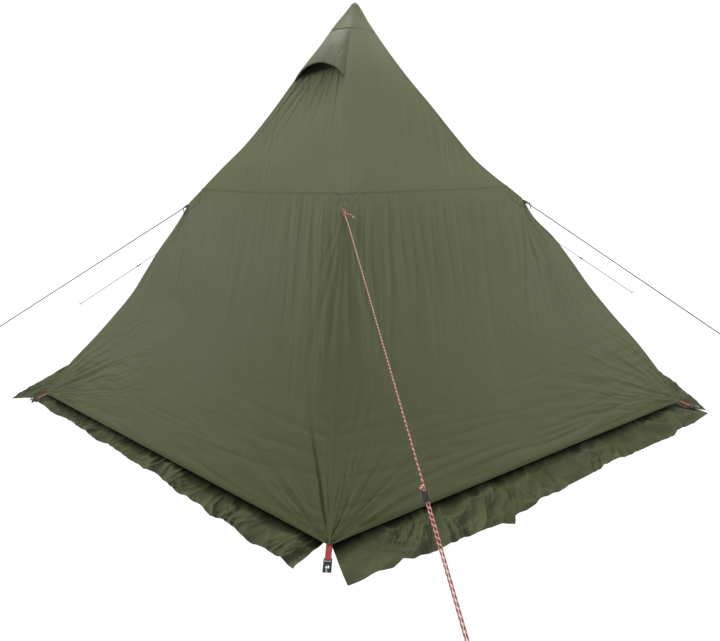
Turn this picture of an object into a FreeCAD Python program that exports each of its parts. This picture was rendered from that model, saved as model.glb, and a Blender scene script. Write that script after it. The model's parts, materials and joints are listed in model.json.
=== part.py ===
# Six-sided teepee tent with one centre pole, modelled as separate sewn panels,
# webbing, pole sections, guy lines, runners and pegs.
# Frame: millimetres, +Z up, origin on the ground under the apex (the pole foot's
# centre), -Y towards the front corner of the tent.
import FreeCAD, Part
import Sketcher
import math
import os

Vector, Placement, Rotation = FreeCAD.Vector, FreeCAD.Placement, FreeCAD.Rotation
UP = Vector(0, 0, 1)

os.makedirs("parts", exist_ok=True)
doc = FreeCAD.newDocument("teepee")
sheet = doc.addObject("Spreadsheet::Sheet", "Params")
size = {}       # alias -> value, the same as in the sheet
pieces = {}     # label -> object to export


# ---------------------------------------------------------------- sheet
def define(alias, value):
    """Writes one size to the sheet under its alias and returns it."""
    row = len(size) + 1
    text = "%.6f" % value
    sheet.set("A%d" % row, alias)
    sheet.set("B%d" % row, text)
    sheet.setAlias("B%d" % row, alias)
    size[alias] = float(text)
    return size[alias]


def define_all(**values):
    for alias, value in values.items():
        define(alias, value)


def outline(prefix, points):
    """Writes an outline's corners to the sheet and returns their signed aliases.

    Cells hold magnitudes, so repeats and mirror images of an outline share them.
    """
    corners = []
    for n, point in enumerate(points):
        corner = []
        for axis, value in zip("xy", point):
            if abs(value) < 1e-9:
                corner.append(0)
                continue
            alias = "%s_%s_%d" % (prefix, axis, n)
            if alias not in size:
                define(alias, abs(value))
            corner.append(("-" if value < 0 else "") + alias)
        corners.append(tuple(corner))
    return corners


def value_of(coordinate):
    """The number behind a coordinate: 0, or an alias with or without a minus."""
    if coordinate == 0:
        return 0.0
    value = size[coordinate.lstrip("-")]
    return -value if coordinate.startswith("-") else value


def bind_property(feature, name, rule, value):
    setattr(feature, name, value)
    feature.setExpression(name, rule)


def bind_size(feature, name, alias):
    bind_property(feature, name, "Params." + alias, size[alias])


# ---------------------------------------------------------------- sketches
def constrain(sketch, *constraints):
    for arguments in constraints:
        sketch.addConstraint(Sketcher.Constraint(*arguments))


def dimension(sketch, alias, kind, *ends):
    """Adds a dimension that follows a cell of the sheet."""
    index = sketch.addConstraint(Sketcher.Constraint(kind, *ends, size[alias]))
    sketch.setExpression("Constraints[%d]" % index, "Params." + alias)


def pin_point(sketch, geometry, point, x, y):
    """Ties one sketch point to the sheet; in Sketcher, -1 is the x axis and -2 the y axis."""
    for kind, zero_axis, coordinate in (("DistanceX", -2, x), ("DistanceY", -1, y)):
        if coordinate == 0:
            constrain(sketch, ("PointOnObject", geometry, point, zero_axis))
        elif coordinate.startswith("-"):
            dimension(sketch, coordinate[1:], kind, geometry, point, -1, 1)
        else:
            dimension(sketch, coordinate, kind, -1, 1, geometry, point)


def add_line(sketch, start, end):
    segment = Part.LineSegment(Vector(*start, 0), Vector(*end, 0))
    return sketch.addGeometry(segment, False)


def add_arc(sketch, centre, radius, start, end):
    full = Part.Circle(Vector(*centre, 0), UP, radius)
    return sketch.addGeometry(Part.ArcOfCircle(full, start, end), False)


def polygon(sketch, corners):
    """A closed loop of straight edges, each corner tied to the sheet."""
    first, count = sketch.GeometryCount, len(corners)
    values = [(value_of(x), value_of(y)) for x, y in corners]
    for i in range(count):
        add_line(sketch, values[i], values[(i + 1) % count])
    for i in range(count):
        constrain(sketch, ("Coincident", first + i, 2, first + (i + 1) % count, 1))
    for i, (x, y) in enumerate(corners):
        pin_point(sketch, first + i, 1, x, y)


def circle(sketch, x, y, radius_alias):
    ring = Part.Circle(Vector(value_of(x), value_of(y), 0), UP, size[radius_alias])
    geometry = sketch.addGeometry(ring, False)
    dimension(sketch, radius_alias, "Radius", geometry)
    pin_point(sketch, geometry, 3, x, y)


def rectangle(left, low, right, high):
    return [(left, low), (right, low), (right, high), (left, high)]


# ---------------------------------------------------------------- bodies
def new_body(name):
    return doc.addObject("PartDesign::Body", name)


def origin_feature(body, role):
    return [f for f in body.Origin.OriginFeatures if f.Role == role][0]


def add_sketch(body, name, role="XY_Plane"):
    sketch = body.newObject("Sketcher::SketchObject", name)
    sketch.AttachmentSupport = (origin_feature(body, role), [""])
    sketch.MapMode = "FlatFace"
    return sketch


def shift(feature, distance, rule, rotation=Rotation()):
    """Moves an attached feature off its plane by a distance that follows the sheet."""
    feature.AttachmentOffset = Placement(Vector(0, 0, distance), rotation)
    feature.setExpression("AttachmentOffset.Base.z", rule)


def pad(body, sketch, name, length_alias, inwards=False, both=False):
    feature = body.newObject("PartDesign::Pad", name)
    feature.Profile = sketch
    bind_size(feature, "Length", length_alias)
    feature.Reversed = inwards
    if both:
        feature.Midplane = True
    body.Tip = feature


def pocket(body, sketch, name):
    """Cuts right through, both ways from the sketch."""
    feature = body.newObject("PartDesign::Pocket", name)
    feature.Profile = sketch
    feature.Type = 1          # through all
    feature.Midplane = True
    body.Tip = feature


def loft(body, kind, name, profile, section):
    feature = body.newObject("PartDesign::" + kind, name)
    feature.Profile = profile
    feature.Sections = [section]
    feature.Ruled = True
    body.Tip = feature


def revolve(body, sketch, name):
    """A full turn about the body's Z axis."""
    feature = body.newObject("PartDesign::Revolution", name)
    feature.Profile = sketch
    feature.ReferenceAxis = (origin_feature(body, "Z_Axis"), [""])
    feature.Angle = 360.0
    body.Tip = feature
    return feature


def pipe(body, profile, spine, name):
    feature = body.newObject("PartDesign::AdditivePipe", name)
    feature.Profile = profile
    feature.Spine = spine
    body.Tip = feature
    return feature


def plate(name, corners, thick_alias, placement, inwards=True):
    """A flat piece of cloth or strip, padded to one side of its sketch."""
    body = new_body(name)
    sketch = add_sketch(body, name + "_outline")
    polygon(sketch, corners)
    pad(body, sketch, name + "_pad", thick_alias, inwards)
    body.Placement = placement
    return body


def bar(stem, j, corners, thick_alias, placement):
    """A flat piece padded equally to both sides of its sketch."""
    body = new_body("%s_%d" % (stem, j))
    sketch = add_sketch(body, "%s_outline_%d" % (stem, j))
    polygon(sketch, corners)
    pad(body, sketch, "%s_pad_%d" % (stem, j), thick_alias, both=True)
    body.Placement = placement
    return body


def piece(label, feature):
    feature.Label = label
    pieces[label] = feature


def group(label, members):
    compound = doc.addObject("Part::Compound", "grp_" + label)
    compound.Links = members
    piece(label, compound)


# ---------------------------------------------------------------- tent frame
FACES = ["front_right", "right", "back_right", "back_left", "left", "front_left"]
CORNERS = ["front", "right_front", "right_back", "back", "left_back", "left_front"]
VENTS = ((5, "front"), (2, "back"))      # face index, short name
VENT_FACES = [i for i, short in VENTS]
DOOR_FACE = 3

hem_radius = define("hem_radius", 2120.0)       # centre to hem corner
apex_height = define("apex_height", 2300.0)
hem_height = define("hem_height", 45.0)         # hem above the ground
edge_gap = define("edge_gap", 4.0)              # panel edge back from the ridge line
half_side = hem_radius / 2
apothem = hem_radius * math.cos(math.pi / 6)
rise = apex_height - hem_height
slant = math.hypot(apothem, rise)
tilt = math.atan2(rise, apothem)
# how far a panel edge stands back, measured along the hem direction
side_back = edge_gap / math.cos(math.atan2(half_side, slant))


def slope_y(share):
    """Height up a face's slope at a share of the slope counted from the apex."""
    return slant * (1 - share)


def half_width(y, back=side_back):
    """Half width of a face at a height y up its slope."""
    return half_side * (1 - y / slant) - back


def corner_angle(j):
    return math.radians(-90 + 60 * j)


def face_angle(i):
    return math.radians(-60 + 60 * i)


def radial(angle):
    return Vector(math.cos(angle), math.sin(angle), 0)


def axes_placement(origin, x_axis, y_axis):
    z_axis = x_axis.cross(y_axis)
    return Placement(FreeCAD.Matrix(
        x_axis.x, y_axis.x, z_axis.x, origin.x,
        x_axis.y, y_axis.y, z_axis.y, origin.y,
        x_axis.z, y_axis.z, z_axis.z, origin.z,
        0, 0, 0, 1))


def face_axes(i):
    """A face's axes: x along the hem, y up the slope, z outwards."""
    outward = radial(face_angle(i))
    x_axis = UP.cross(outward)
    y_axis = UP * math.sin(tilt) - outward * math.cos(tilt)
    return x_axis, y_axis, x_axis.cross(y_axis)


def face_point(i, x, y, z=0.0):
    """A point measured from mid hem on the face's outer surface."""
    x_axis, y_axis, z_axis = face_axes(i)
    mid_hem = radial(face_angle(i)) * apothem + UP * hem_height
    return mid_hem + x_axis * x + y_axis * y + z_axis * z


def face_placement(i, z=0.0):
    x_axis, y_axis, z_axis = face_axes(i)
    return axes_placement(face_point(i, 0, 0, z), x_axis, y_axis)


def falling_axes(angle, fall):
    """x level across the radius, y outwards and down by the fall angle; x cross y points up."""
    outward = radial(angle)
    return outward.cross(UP), outward * math.cos(fall) - UP * math.sin(fall)


def face_band(low, high):
    """The strip of a face between two heights up its slope."""
    return [(-half_width(low), low), (half_width(low), low),
            (half_width(high), high), (-half_width(high), high)]


def side_band(low, high, inner_low, inner_high):
    """The +x part of a face band, from an inner edge out to the ridge."""
    return [(inner_low, low), (half_width(low), low),
            (half_width(high), high), (inner_high, high)]


def mirrored(points):
    return [(-x, y) for x, y in points]


# ---------------------------------------------------------------- canopy panels
define("cloth_thick", 1.2)
seam_y = slope_y(0.498)
tip_y = slope_y(0.060)           # top edge of the panels
hood_edge_y = slope_y(0.210)     # the hood's open edge
vent_low_y = slope_y(0.165)      # lower edge of the vent opening, under the hood
vent_top_y = slope_y(0.085)
seam_gap = 1.0                   # each panel back from the seam
vent_gap = 3.0                   # panel back from the vent mesh
below_seam, above_seam = seam_y - seam_gap, seam_y + seam_gap

# door: a tapered flap from the hem up past the horizontal seam
door_low, door_high = 12.0, 1950.0
door_half_low, door_half_high = 480.0, 170.0
door_clearance = 6.0


def door_half(y):
    taper = (door_half_high - door_half_low) / (door_high - door_low)
    return door_half_low + taper * (y - door_low)


def door_side_pair(stem, prefix, low, high):
    """The two panels beside the door, the +x one named right."""
    points = side_band(low, high, door_half(low) + door_clearance,
                       door_half(high) + door_clearance)
    return [plate("%s_%s_%s" % (stem, side, FACES[DOOR_FACE]), outline(prefix, shape),
                  "cloth_thick", face_placement(DOOR_FACE))
            for side, shape in (("right", points), ("left", mirrored(points)))]


def build_door_face():
    name = FACES[DOOR_FACE]
    over_door = door_high + door_clearance
    group("lower_panel_" + name, door_side_pair("lower", "doorlow", 0.0, below_seam))
    upper = door_side_pair("upper", "doorup", above_seam, over_door)
    top = outline("doortop", face_band(over_door + 0.5, tip_y))
    upper.append(plate("upper_top_" + name, top, "cloth_thick", face_placement(DOOR_FACE)))
    group("upper_panel_" + name, upper)


def build_canopy():
    lower = outline("lower", face_band(0.0, below_seam))
    upper = outline("upper", face_band(above_seam, tip_y))
    under_vent = outline("ventpanel", face_band(above_seam, vent_low_y - vent_gap))
    over_vent = outline("venttip", face_band(vent_top_y + vent_gap, tip_y))
    for i, name in enumerate(FACES):
        if i == DOOR_FACE:
            build_door_face()
            continue
        place = face_placement(i)
        piece("lower_panel_" + name, plate("low_" + name, lower, "cloth_thick", place))
        if i in VENT_FACES:
            group("upper_panel_" + name, [
                plate("upv_" + name, under_vent, "cloth_thick", place),
                plate("upt_" + name, over_vent, "cloth_thick", place)])
        else:
            piece("upper_panel_" + name, plate("up_" + name, upper, "cloth_thick", place))


# ---------------------------------------------------------------- apex cap
cap_share = 0.078                # share of the slope the cap covers
cap_clearance = 0.9              # the cap's inner wall off the panels
cap_wall = 1.3
cap_corner = hem_radius * cap_share
cap_drop = define("cap_drop", rise * cap_share)
lid_high = define("lid_high", 6.0)
lid_corner = lid_high / rise * hem_radius       # hexagon radius where the lid sits
define("lid_wide", lid_corner * math.cos(math.pi / 6) - 0.2)
define("lid_narrow", 1.2)


def hexagon(radius):
    return [(radius * math.cos(corner_angle(j)), radius * math.sin(corner_angle(j)))
            for j in range(6)]


def cap_sketches(body, names, prefixes, inset):
    """The low and top hexagons of the cap's outer or inner wall."""
    low, top = [add_sketch(body, name) for name in names]
    shift(top, cap_drop - lid_high, "Params.cap_drop - Params.lid_high")
    polygon(low, outline(prefixes[0], hexagon(cap_corner - inset)))
    polygon(top, outline(prefixes[1], hexagon(lid_corner - inset)))
    return low, top


def build_cap():
    """A hollow six-sided cone over the panel tips, closed by a peaked round lid."""
    body = new_body("cap_body")
    low, top = cap_sketches(body, ("cap_low_sketch", "cap_top_sketch"),
                            ("caplow", "captop"), 0.0)
    loft(body, "AdditiveLoft", "cap_loft", low, top)
    inset = cap_wall / math.sin(tilt) / math.cos(math.pi / 6)
    low, top = cap_sketches(body, ("cap_in_low", "cap_in_top"),
                            ("capinlow", "capintop"), inset)
    loft(body, "SubtractiveLoft", "cap_hollow", low, top)
    cap_apex = apex_height + (cap_wall + cap_clearance) / math.cos(tilt)
    body.Placement = Placement(UP * (cap_apex - rise * cap_share), Rotation())

    lid = doc.addObject("Part::Cone", "cap_lid")
    bind_size(lid, "Radius1", "lid_wide")
    bind_size(lid, "Radius2", "lid_narrow")
    bind_size(lid, "Height", "lid_high")
    lid.Placement = Placement(UP * (cap_apex - lid_high), Rotation())

    whole = doc.addObject("Part::Fuse", "cap_whole")
    whole.Base = body
    whole.Tool = lid
    piece("apex_cap", whole)


# ---------------------------------------------------------------- vents
def arch_radius(half, bow):
    """Radius of the arc that rises by bow over a chord of twice half."""
    return (half * half + bow * bow) / (2 * bow)


define("mesh_thick", 1.0)
hood_top_y = vent_top_y - 4.0
hood_stand_off = 2.6             # hood's top edge off the face
hood_lean = 60.7                 # degrees the open arch leans up the slope from square
hood_top_bow = 6.0
hood_edge_bow = 87.5             # rise of the open edge over its chord
hood_top_half = define("hood_top_half", half_width(vent_top_y, 0.0) - 4.0)
hood_edge_half = define("hood_edge_half", half_width(hood_edge_y, 0.0) - 8.0)
define("hood_top_outer", arch_radius(hood_top_half, hood_top_bow))
define("hood_top_inner", arch_radius(hood_top_half, hood_top_bow) - 1.2)
define("hood_edge_outer", arch_radius(hood_edge_half, hood_edge_bow))
define("hood_edge_inner", arch_radius(hood_edge_half, hood_edge_bow) - 2.2)
hood_len = define("hood_len", hood_top_y - hood_edge_y)

# hoop: a wire inside the hood's arch, just below its open edge
define("hoop_wire", 2.0)         # wire radius
hoop_half = hood_edge_half - 6.0
hoop_bow = hood_edge_bow - 5.0
hoop_y = hood_edge_y - 8.0
hoop_stand_off = 5.0
hoop_rad = define("hoop_rad", arch_radius(hoop_half, hoop_bow))
define("hoop_sweep", math.degrees(2 * math.asin(hoop_half / hoop_rad)))


def arc_band(sketch, prefix, bow):
    """Two arcs of one centre joined by short radial ends; chord along x, bowing to +y."""
    outer_rad, inner_rad = size[prefix + "_outer"], size[prefix + "_inner"]
    centre_y = bow - outer_rad
    half_angle = math.asin(size[prefix + "_half"] / outer_rad)
    start, end = math.pi / 2 - half_angle, math.pi / 2 + half_angle

    def at(radius, angle):
        return radius * math.cos(angle), centre_y + radius * math.sin(angle)

    outer = add_arc(sketch, (0, centre_y), outer_rad, start, end)
    inner = add_arc(sketch, (0, centre_y), inner_rad, start, end)
    start_end = add_line(sketch, at(outer_rad, start), at(inner_rad, start))
    far_end = add_line(sketch, at(outer_rad, end), at(inner_rad, end))
    constrain(sketch,
              ("Coincident", outer, 1, start_end, 1),
              ("Coincident", inner, 1, start_end, 2),
              ("Coincident", outer, 2, far_end, 1),
              ("Coincident", inner, 2, far_end, 2),
              ("Coincident", outer, 3, inner, 3),
              ("PointOnObject", outer, 3, -2))
    dimension(sketch, prefix + "_outer", "Radius", outer)
    dimension(sketch, prefix + "_inner", "Radius", inner)
    dimension(sketch, prefix + "_half", "DistanceX", -1, 1, outer, 1)
    dimension(sketch, prefix + "_half", "DistanceX", outer, 2, -1, 1)
    # the short ends run towards the centre, which fixes the inner arc's ends
    constrain(sketch,
              ("PointOnObject", outer, 1, -1),
              ("PointOnObject", outer, 3, start_end),
              ("PointOnObject", outer, 3, far_end))


def build_hood(i, short):
    """Hood cloth; its body has x along the hem, y off the face and z down the slope."""
    body = new_body("hood_" + short)
    top = add_sketch(body, "hood_top_" + short)
    edge = add_sketch(body, "hood_low_" + short)
    shift(edge, hood_len, "Params.hood_len", Rotation(Vector(1, 0, 0), -hood_lean))
    arc_band(top, "hood_top", hood_top_bow)
    arc_band(edge, "hood_edge", hood_edge_bow)
    loft(body, "AdditiveLoft", "hood_loft_" + short, top, edge)
    x_axis, y_axis, z_axis = face_axes(i)
    body.Placement = axes_placement(face_point(i, 0, hood_top_y, hood_stand_off),
                                    x_axis, z_axis)
    piece("vent_hood_" + short, body)


def build_hoop(i, short):
    body = new_body("hoop_" + short)
    profile = add_sketch(body, "hoop_profile_" + short, "XZ_Plane")
    circle(profile, "hoop_rad", 0, "hoop_wire")
    turn = revolve(body, profile, "hoop_turn_" + short)
    bind_size(turn, "Angle", "hoop_sweep")
    turn.Midplane = True
    # local x, the arc's middle direction, leans up the slope like the hood's edge
    x_axis, y_axis, z_axis = face_axes(i)
    lean = math.radians(hood_lean)
    middle = z_axis * math.cos(lean) + y_axis * math.sin(lean)
    centre = face_point(i, 0, hoop_y, hoop_stand_off) + middle * (hoop_bow - hoop_rad)
    body.Placement = axes_placement(centre, middle, x_axis)
    piece("vent_hoop_" + short, body)


def build_vents():
    mesh = outline("mesh", face_band(vent_low_y, vent_top_y))
    for i, short in VENTS:
        piece("vent_mesh_" + short,
              plate("mesh_" + short, mesh, "mesh_thick", face_placement(i)))
        build_hood(i, short)
        build_hoop(i, short)


# ---------------------------------------------------------------- hem webbing and skirt
define("hem_web_thick", 1.2)
web_low, web_high = 2.0, 22.0
web_stand_off = 0.2

define_all(skirt_half=1028.0, skirt_out_half=1090.0, skirt_thick=1.2)
skirt_run, skirt_fall = 150.0, 32.0
skirt_tuck = 10.0                # top edge in from the hem line
skirt_top_z = 34.0
define("skirt_len", math.hypot(skirt_run, skirt_fall))


def build_hem_webbing():
    """Strips on the outside of the lower panels, parted at the door."""
    full = outline("hemweb", face_band(web_low, web_high))
    zip_side, hinge_side = door_half(0.0) + 26.0, door_half(0.0) + 10.0
    right = side_band(web_low, web_high, zip_side, zip_side)
    left = mirrored(side_band(web_low, web_high, hinge_side, hinge_side))
    strips = []
    for i in range(6):
        if i == DOOR_FACE:
            shapes = [("r", outline("hemwebd", right)), ("l", outline("hemwebe", left))]
        else:
            shapes = [(str(i), full)]
        for suffix, corners in shapes:
            strips.append(plate("hemweb_" + suffix, corners, "hem_web_thick",
                                face_placement(i, web_stand_off), False))
    group("hem_webbing", strips)


def build_skirt():
    """Six snow skirt strips spreading on to the ground."""
    corners = [("-skirt_half", 0), ("skirt_half", 0),
               ("skirt_out_half", "skirt_len"), ("-skirt_out_half", "skirt_len")]
    strips = []
    for i in range(6):
        across, down = falling_axes(face_angle(i), math.atan2(skirt_fall, skirt_run))
        start = radial(face_angle(i)) * (apothem - skirt_tuck) + UP * skirt_top_z
        strips.append(plate("skirt_%d" % i, corners, "skirt_thick",
                            axes_placement(start, across, down)))
    group("snow_skirt", strips)


# ---------------------------------------------------------------- door, zip and tie loops
define_all(zip_tape_thick=0.9, slider_high=4.0, pull_thick=1.6, tie_thick=1.5)
zip_inner, zip_outer = 7.0, 22.0         # tape edges, out from the door's edge
door_trim_z = 0.3                        # tape and ties off the face
slider_along, slider_out, slider_z = 45.0, 12.0, 1.4
pull_back, pull_lift = 9.5, 1.2          # pull's top, down the zip and off the slider's origin
tie_heights = (620.0, 1240.0)
tie_from_door, tie_half, tie_long = 46.0, 7.0, 60.0
SLIDER = [(-4.5, -8.0), (4.5, -8.0), (5.5, 4.0), (3.5, 8.0), (-3.5, 8.0), (-5.5, 4.0)]
PULL = [(-2.5, 0.0), (2.5, 0.0), (4.0, -30.0), (-4.0, -30.0)]


def build_zip():
    """Tape, slider and pull along the door's +x edge, the slider near the bottom."""
    # in the face's own plane: along the door's edge, and out away from the door
    foot = Vector(door_half_low, door_low, 0)
    along = Vector(door_half_high, door_high, 0) - foot
    zip_len = along.Length
    along.normalize()
    out = Vector(along.y, -along.x, 0)

    def zip_point(distance, offset):
        point = foot + along * distance + out * offset
        return point.x, point.y

    tape = [zip_point(0, zip_inner), zip_point(0, zip_outer),
            zip_point(zip_len, zip_outer), zip_point(zip_len, zip_inner)]
    piece("door_zip_tape", plate("zip_tape", outline("ziptape", tape), "zip_tape_thick",
                                 face_placement(DOOR_FACE, door_trim_z), False))

    x_axis, y_axis, z_axis = face_axes(DOOR_FACE)
    zip_x = x_axis * out.x + y_axis * out.y
    zip_y = x_axis * along.x + y_axis * along.y
    slider_at = face_point(DOOR_FACE, *zip_point(slider_along, slider_out), slider_z)
    pull_at = slider_at - zip_y * pull_back + z_axis * pull_lift
    piece("zip_slider", plate("slider_plate", outline("slider", SLIDER), "slider_high",
                              axes_placement(slider_at, zip_x, zip_y), False))
    piece("zip_pull", plate("pull_plate", outline("pull", PULL), "pull_thick",
                            axes_placement(pull_at, zip_x, zip_y), False))


def build_door():
    flap = outline("door", [(-door_half_low, door_low), (door_half_low, door_low),
                            (door_half_high, door_high), (-door_half_high, door_high)])
    piece("door_panel", plate("door_plate", flap, "cloth_thick", face_placement(DOOR_FACE)))
    build_zip()
    # two loops on the -x side to hold the rolled door back
    ties = []
    for n, y in enumerate(tie_heights):
        x = -door_half(y) - tie_from_door
        corners = outline("tie%d" % n, rectangle(x - tie_half, y, x + tie_half, y + tie_long))
        ties.append(plate("tie_%d" % n, corners, "tie_thick",
                          face_placement(DOOR_FACE, door_trim_z), False))
    group("door_tie_loops", ties)


# ---------------------------------------------------------------- pegs
define_all(peg_rod=2.5, peg_shank=161.0, peg_tip_high=14.0, peg_neck=11.0, hook_rad=9.0)
peg_point_rad = 0.4
hook_end = 4.0                   # straight end of the hook


def peg(name, placement):
    """A wire peg: its rod runs down -Z through the origin, hooks over to +x above
    and ends in a point."""
    shank, neck, hook = size["peg_shank"], size["peg_neck"], size["hook_rad"]
    body = new_body(name)
    path = add_sketch(body, name + "_path", "XZ_Plane")
    rod = add_line(path, (0, -shank), (0, neck))
    bend = add_arc(path, (hook, neck), hook, 0.0, math.pi)
    end = add_line(path, (2 * hook, neck), (2 * hook, neck - hook_end))
    constrain(path,
              ("PointOnObject", rod, 1, -2),
              ("PointOnObject", rod, 2, -2),
              ("Coincident", rod, 2, bend, 2),
              ("Coincident", bend, 1, end, 1),
              ("Vertical", end),
              ("Horizontal", bend, 3, bend, 2),
              ("Horizontal", bend, 3, bend, 1))
    dimension(path, "peg_neck", "DistanceY", -1, 1, rod, 2)
    dimension(path, "peg_shank", "DistanceY", rod, 1, -1, 1)
    dimension(path, "hook_rad", "Radius", bend)
    constrain(path, ("DistanceY", end, 2, end, 1, hook_end))
    profile = add_sketch(body, name + "_round")
    shift(profile, -shank, "-Params.peg_shank")
    circle(profile, 0, 0, "peg_rod")
    pipe(body, profile, path, name + "_pipe").Transition = 1

    cone = body.newObject("PartDesign::AdditiveCone", name + "_point")
    cone.Radius1 = peg_point_rad
    bind_size(cone, "Radius2", "peg_rod")
    bind_size(cone, "Height", "peg_tip_high")
    cone.AttachmentSupport = (origin_feature(body, "XY_Plane"), [""])
    cone.MapMode = "FlatFace"
    shift(cone, -(shank + size["peg_tip_high"]), "-(Params.peg_shank + Params.peg_tip_high)")
    body.Tip = cone
    body.Placement = placement
    return body


# ---------------------------------------------------------------- corner straps and buckles
corner_fall = math.radians(20.0)
strap_in, strap_below = 2.0, 6.0         # strap origin in from and below the hem corner
define_all(strap_wide_half=11.5, strap_under=30.0, strap_to=40.0, strap_thick=2.2,
           buckle_half=15.0, buckle_from=42.0, buckle_to=86.0, buckle_thick=5.0,
           buckle_eye=7.0, buckle_eye_at=70.0,
           slot_half=12.2, slot_from=47.0, slot_to=52.0)


def build_buckle(j, place):
    """A plate with a slot and, further out, a round eye for the peg."""
    body = bar("buckle", j,
               rectangle("-buckle_half", "buckle_from", "buckle_half", "buckle_to"),
               "buckle_thick", place)
    holes = add_sketch(body, "buckle_holes_%d" % j)
    polygon(holes, rectangle("-slot_half", "slot_from", "slot_half", "slot_to"))
    circle(holes, 0, "buckle_eye_at", "buckle_eye")
    pocket(body, holes, "buckle_cut_%d" % j)
    return body


def build_corners():
    strap = rectangle("-strap_wide_half", "-strap_under", "strap_wide_half", "strap_to")
    straps, buckles = [], []
    for j, name in enumerate(CORNERS):
        across, along = falling_axes(corner_angle(j), corner_fall)
        origin = (radial(corner_angle(j)) * (hem_radius - strap_in)
                  + UP * (hem_height - strap_below))
        place = axes_placement(origin, across, along)
        straps.append(bar("strap", j, strap, "strap_thick", place))
        buckles.append(build_buckle(j, place))
        # the peg stands in the buckle's eye with its hook turned outwards
        eye = origin + along * size["buckle_eye_at"]
        piece("corner_peg_" + name,
              peg("cpeg_%d" % j, axes_placement(eye, along, across * -1)))
    group("corner_straps", straps)
    group("corner_buckles", buckles)


# ---------------------------------------------------------------- guy lines
guy_share = 0.535                # where the lines leave the ridges, from the apex
guy_out = 40.0                   # line's upper end, out from the ridge
peg_radius, peg_z = 3095.0, 14.0
peg_turns = [9.3, -7.5, -5.0, 0.0, 13.0, 0.0]    # degrees each peg sits round from its ridge
define("tab_thick", 1.0)
tab_stand_off = 0.4
tab_above, tab_below = 110.0, 90.0               # ends of the tab along the ridge
tab_mid_below, tab_reach = 10.0, 120.0           # its third corner, into the face
define_all(loop_half=9.0, loop_thick=2.0, loop_from=9.0, loop_to=40.0,
           loop_eye_half=5.5, loop_eye_from=24.0, loop_eye_to=35.0)
define_all(cord_rad=2.5, cord_off=3.2, line_start=6.0,
           cord_eye=5.4)                         # the strands open round the peg
cord_open = 60.0                                 # length over which they open
define_all(runner_half=7.5, runner_long_half=15.0, runner_thick=8.0, runner_bore=2.6)
runner_share = 0.61                              # runner's place down the line
strand_past_runner = 30.0


def build_guy_tabs():
    """Triangular cloth tabs on the two faces beside each ridge."""
    y = slope_y(guy_share)
    mid_y = y - tab_mid_below
    points = [(half_width(y + tab_above), y + tab_above),
              (half_width(mid_y) - tab_reach, mid_y),
              (half_width(y - tab_below), y - tab_below)]
    tabs = []
    for j in range(6):
        # ridge j is the +x edge of face j - 1 and the -x edge of face j
        for i, shape in (((j - 1) % 6, points), (j, mirrored(points))):
            tabs.append(plate("tab_%d_%d" % (j, i), outline("tab", shape), "tab_thick",
                              face_placement(i, tab_stand_off), False))
    group("guy_tabs", tabs)


def build_loop(j, place):
    """A webbing loop on the ridge, lying along the line."""
    body = bar("loop", j, rectangle("loop_from", "-loop_half", "loop_to", "loop_half"),
               "loop_thick", place)
    eye = add_sketch(body, "loop_eye_%d" % j)
    polygon(eye, rectangle("loop_eye_from", "-loop_eye_half", "loop_eye_to", "loop_eye_half"))
    pocket(body, eye, "loop_cut_%d" % j)
    return body


def build_cord(j, length, runner_at, place):
    """One strand from the loop to the peg, round it, and back past the runner."""
    len_alias, eye_alias, back_alias = ["line_%s_%d" % (word, j)
                                        for word in ("len", "eye", "back")]
    define(len_alias, length)
    open_at = define(eye_alias, length - cord_open)
    back_at = define(back_alias, runner_at - strand_past_runner)
    start, off, eye = size["line_start"], size["cord_off"], size["cord_eye"]
    body = new_body("cord_%d" % j)
    path = add_sketch(body, "cord_path_%d" % j)
    out = add_line(path, (start, off), (open_at, off))
    opening = add_line(path, (open_at, off), (length, eye))
    bend = add_arc(path, (length, 0), eye, -math.pi / 2, math.pi / 2)
    closing = add_line(path, (length, -eye), (open_at, -off))
    back = add_line(path, (open_at, -off), (back_at, -off))
    constrain(path,
              ("Coincident", out, 2, opening, 1),
              ("Coincident", opening, 2, bend, 2),
              ("Coincident", bend, 1, closing, 1),
              ("Coincident", closing, 2, back, 1),
              ("PointOnObject", bend, 3, -1),
              ("Horizontal", out),
              ("Horizontal", back),
              ("Vertical", bend, 3, bend, 1),
              ("Vertical", bend, 3, bend, 2))
    dimension(path, len_alias, "DistanceX", -1, 1, bend, 3)
    dimension(path, "line_start", "DistanceX", -1, 1, out, 1)
    dimension(path, back_alias, "DistanceX", -1, 1, back, 2)
    dimension(path, eye_alias, "DistanceX", -1, 1, out, 2)
    dimension(path, eye_alias, "DistanceX", -1, 1, closing, 2)
    dimension(path, "cord_off", "DistanceY", -1, 1, out, 1)
    dimension(path, "cord_off", "DistanceY", back, 2, -1, 1)
    dimension(path, "cord_eye", "Radius", bend)
    profile = add_sketch(body, "cord_round_%d" % j, "YZ_Plane")
    shift(profile, start, "Params.line_start")
    circle(profile, "cord_off", 0, "cord_rad")
    pipe(body, profile, path, "cord_pipe_%d" % j)
    body.Placement = place
    return body


def build_runner(j, place):
    """A flat bar with a bore for each strand."""
    body = bar("runner", j, rectangle("-runner_long_half", "-runner_half",
                                      "runner_long_half", "runner_half"),
               "runner_thick", place)
    bores = add_sketch(body, "runner_bores_%d" % j, "YZ_Plane")
    circle(bores, "cord_off", 0, "runner_bore")
    circle(bores, "-cord_off", 0, "runner_bore")
    pocket(body, bores, "runner_drill_%d" % j)
    return body


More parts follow.
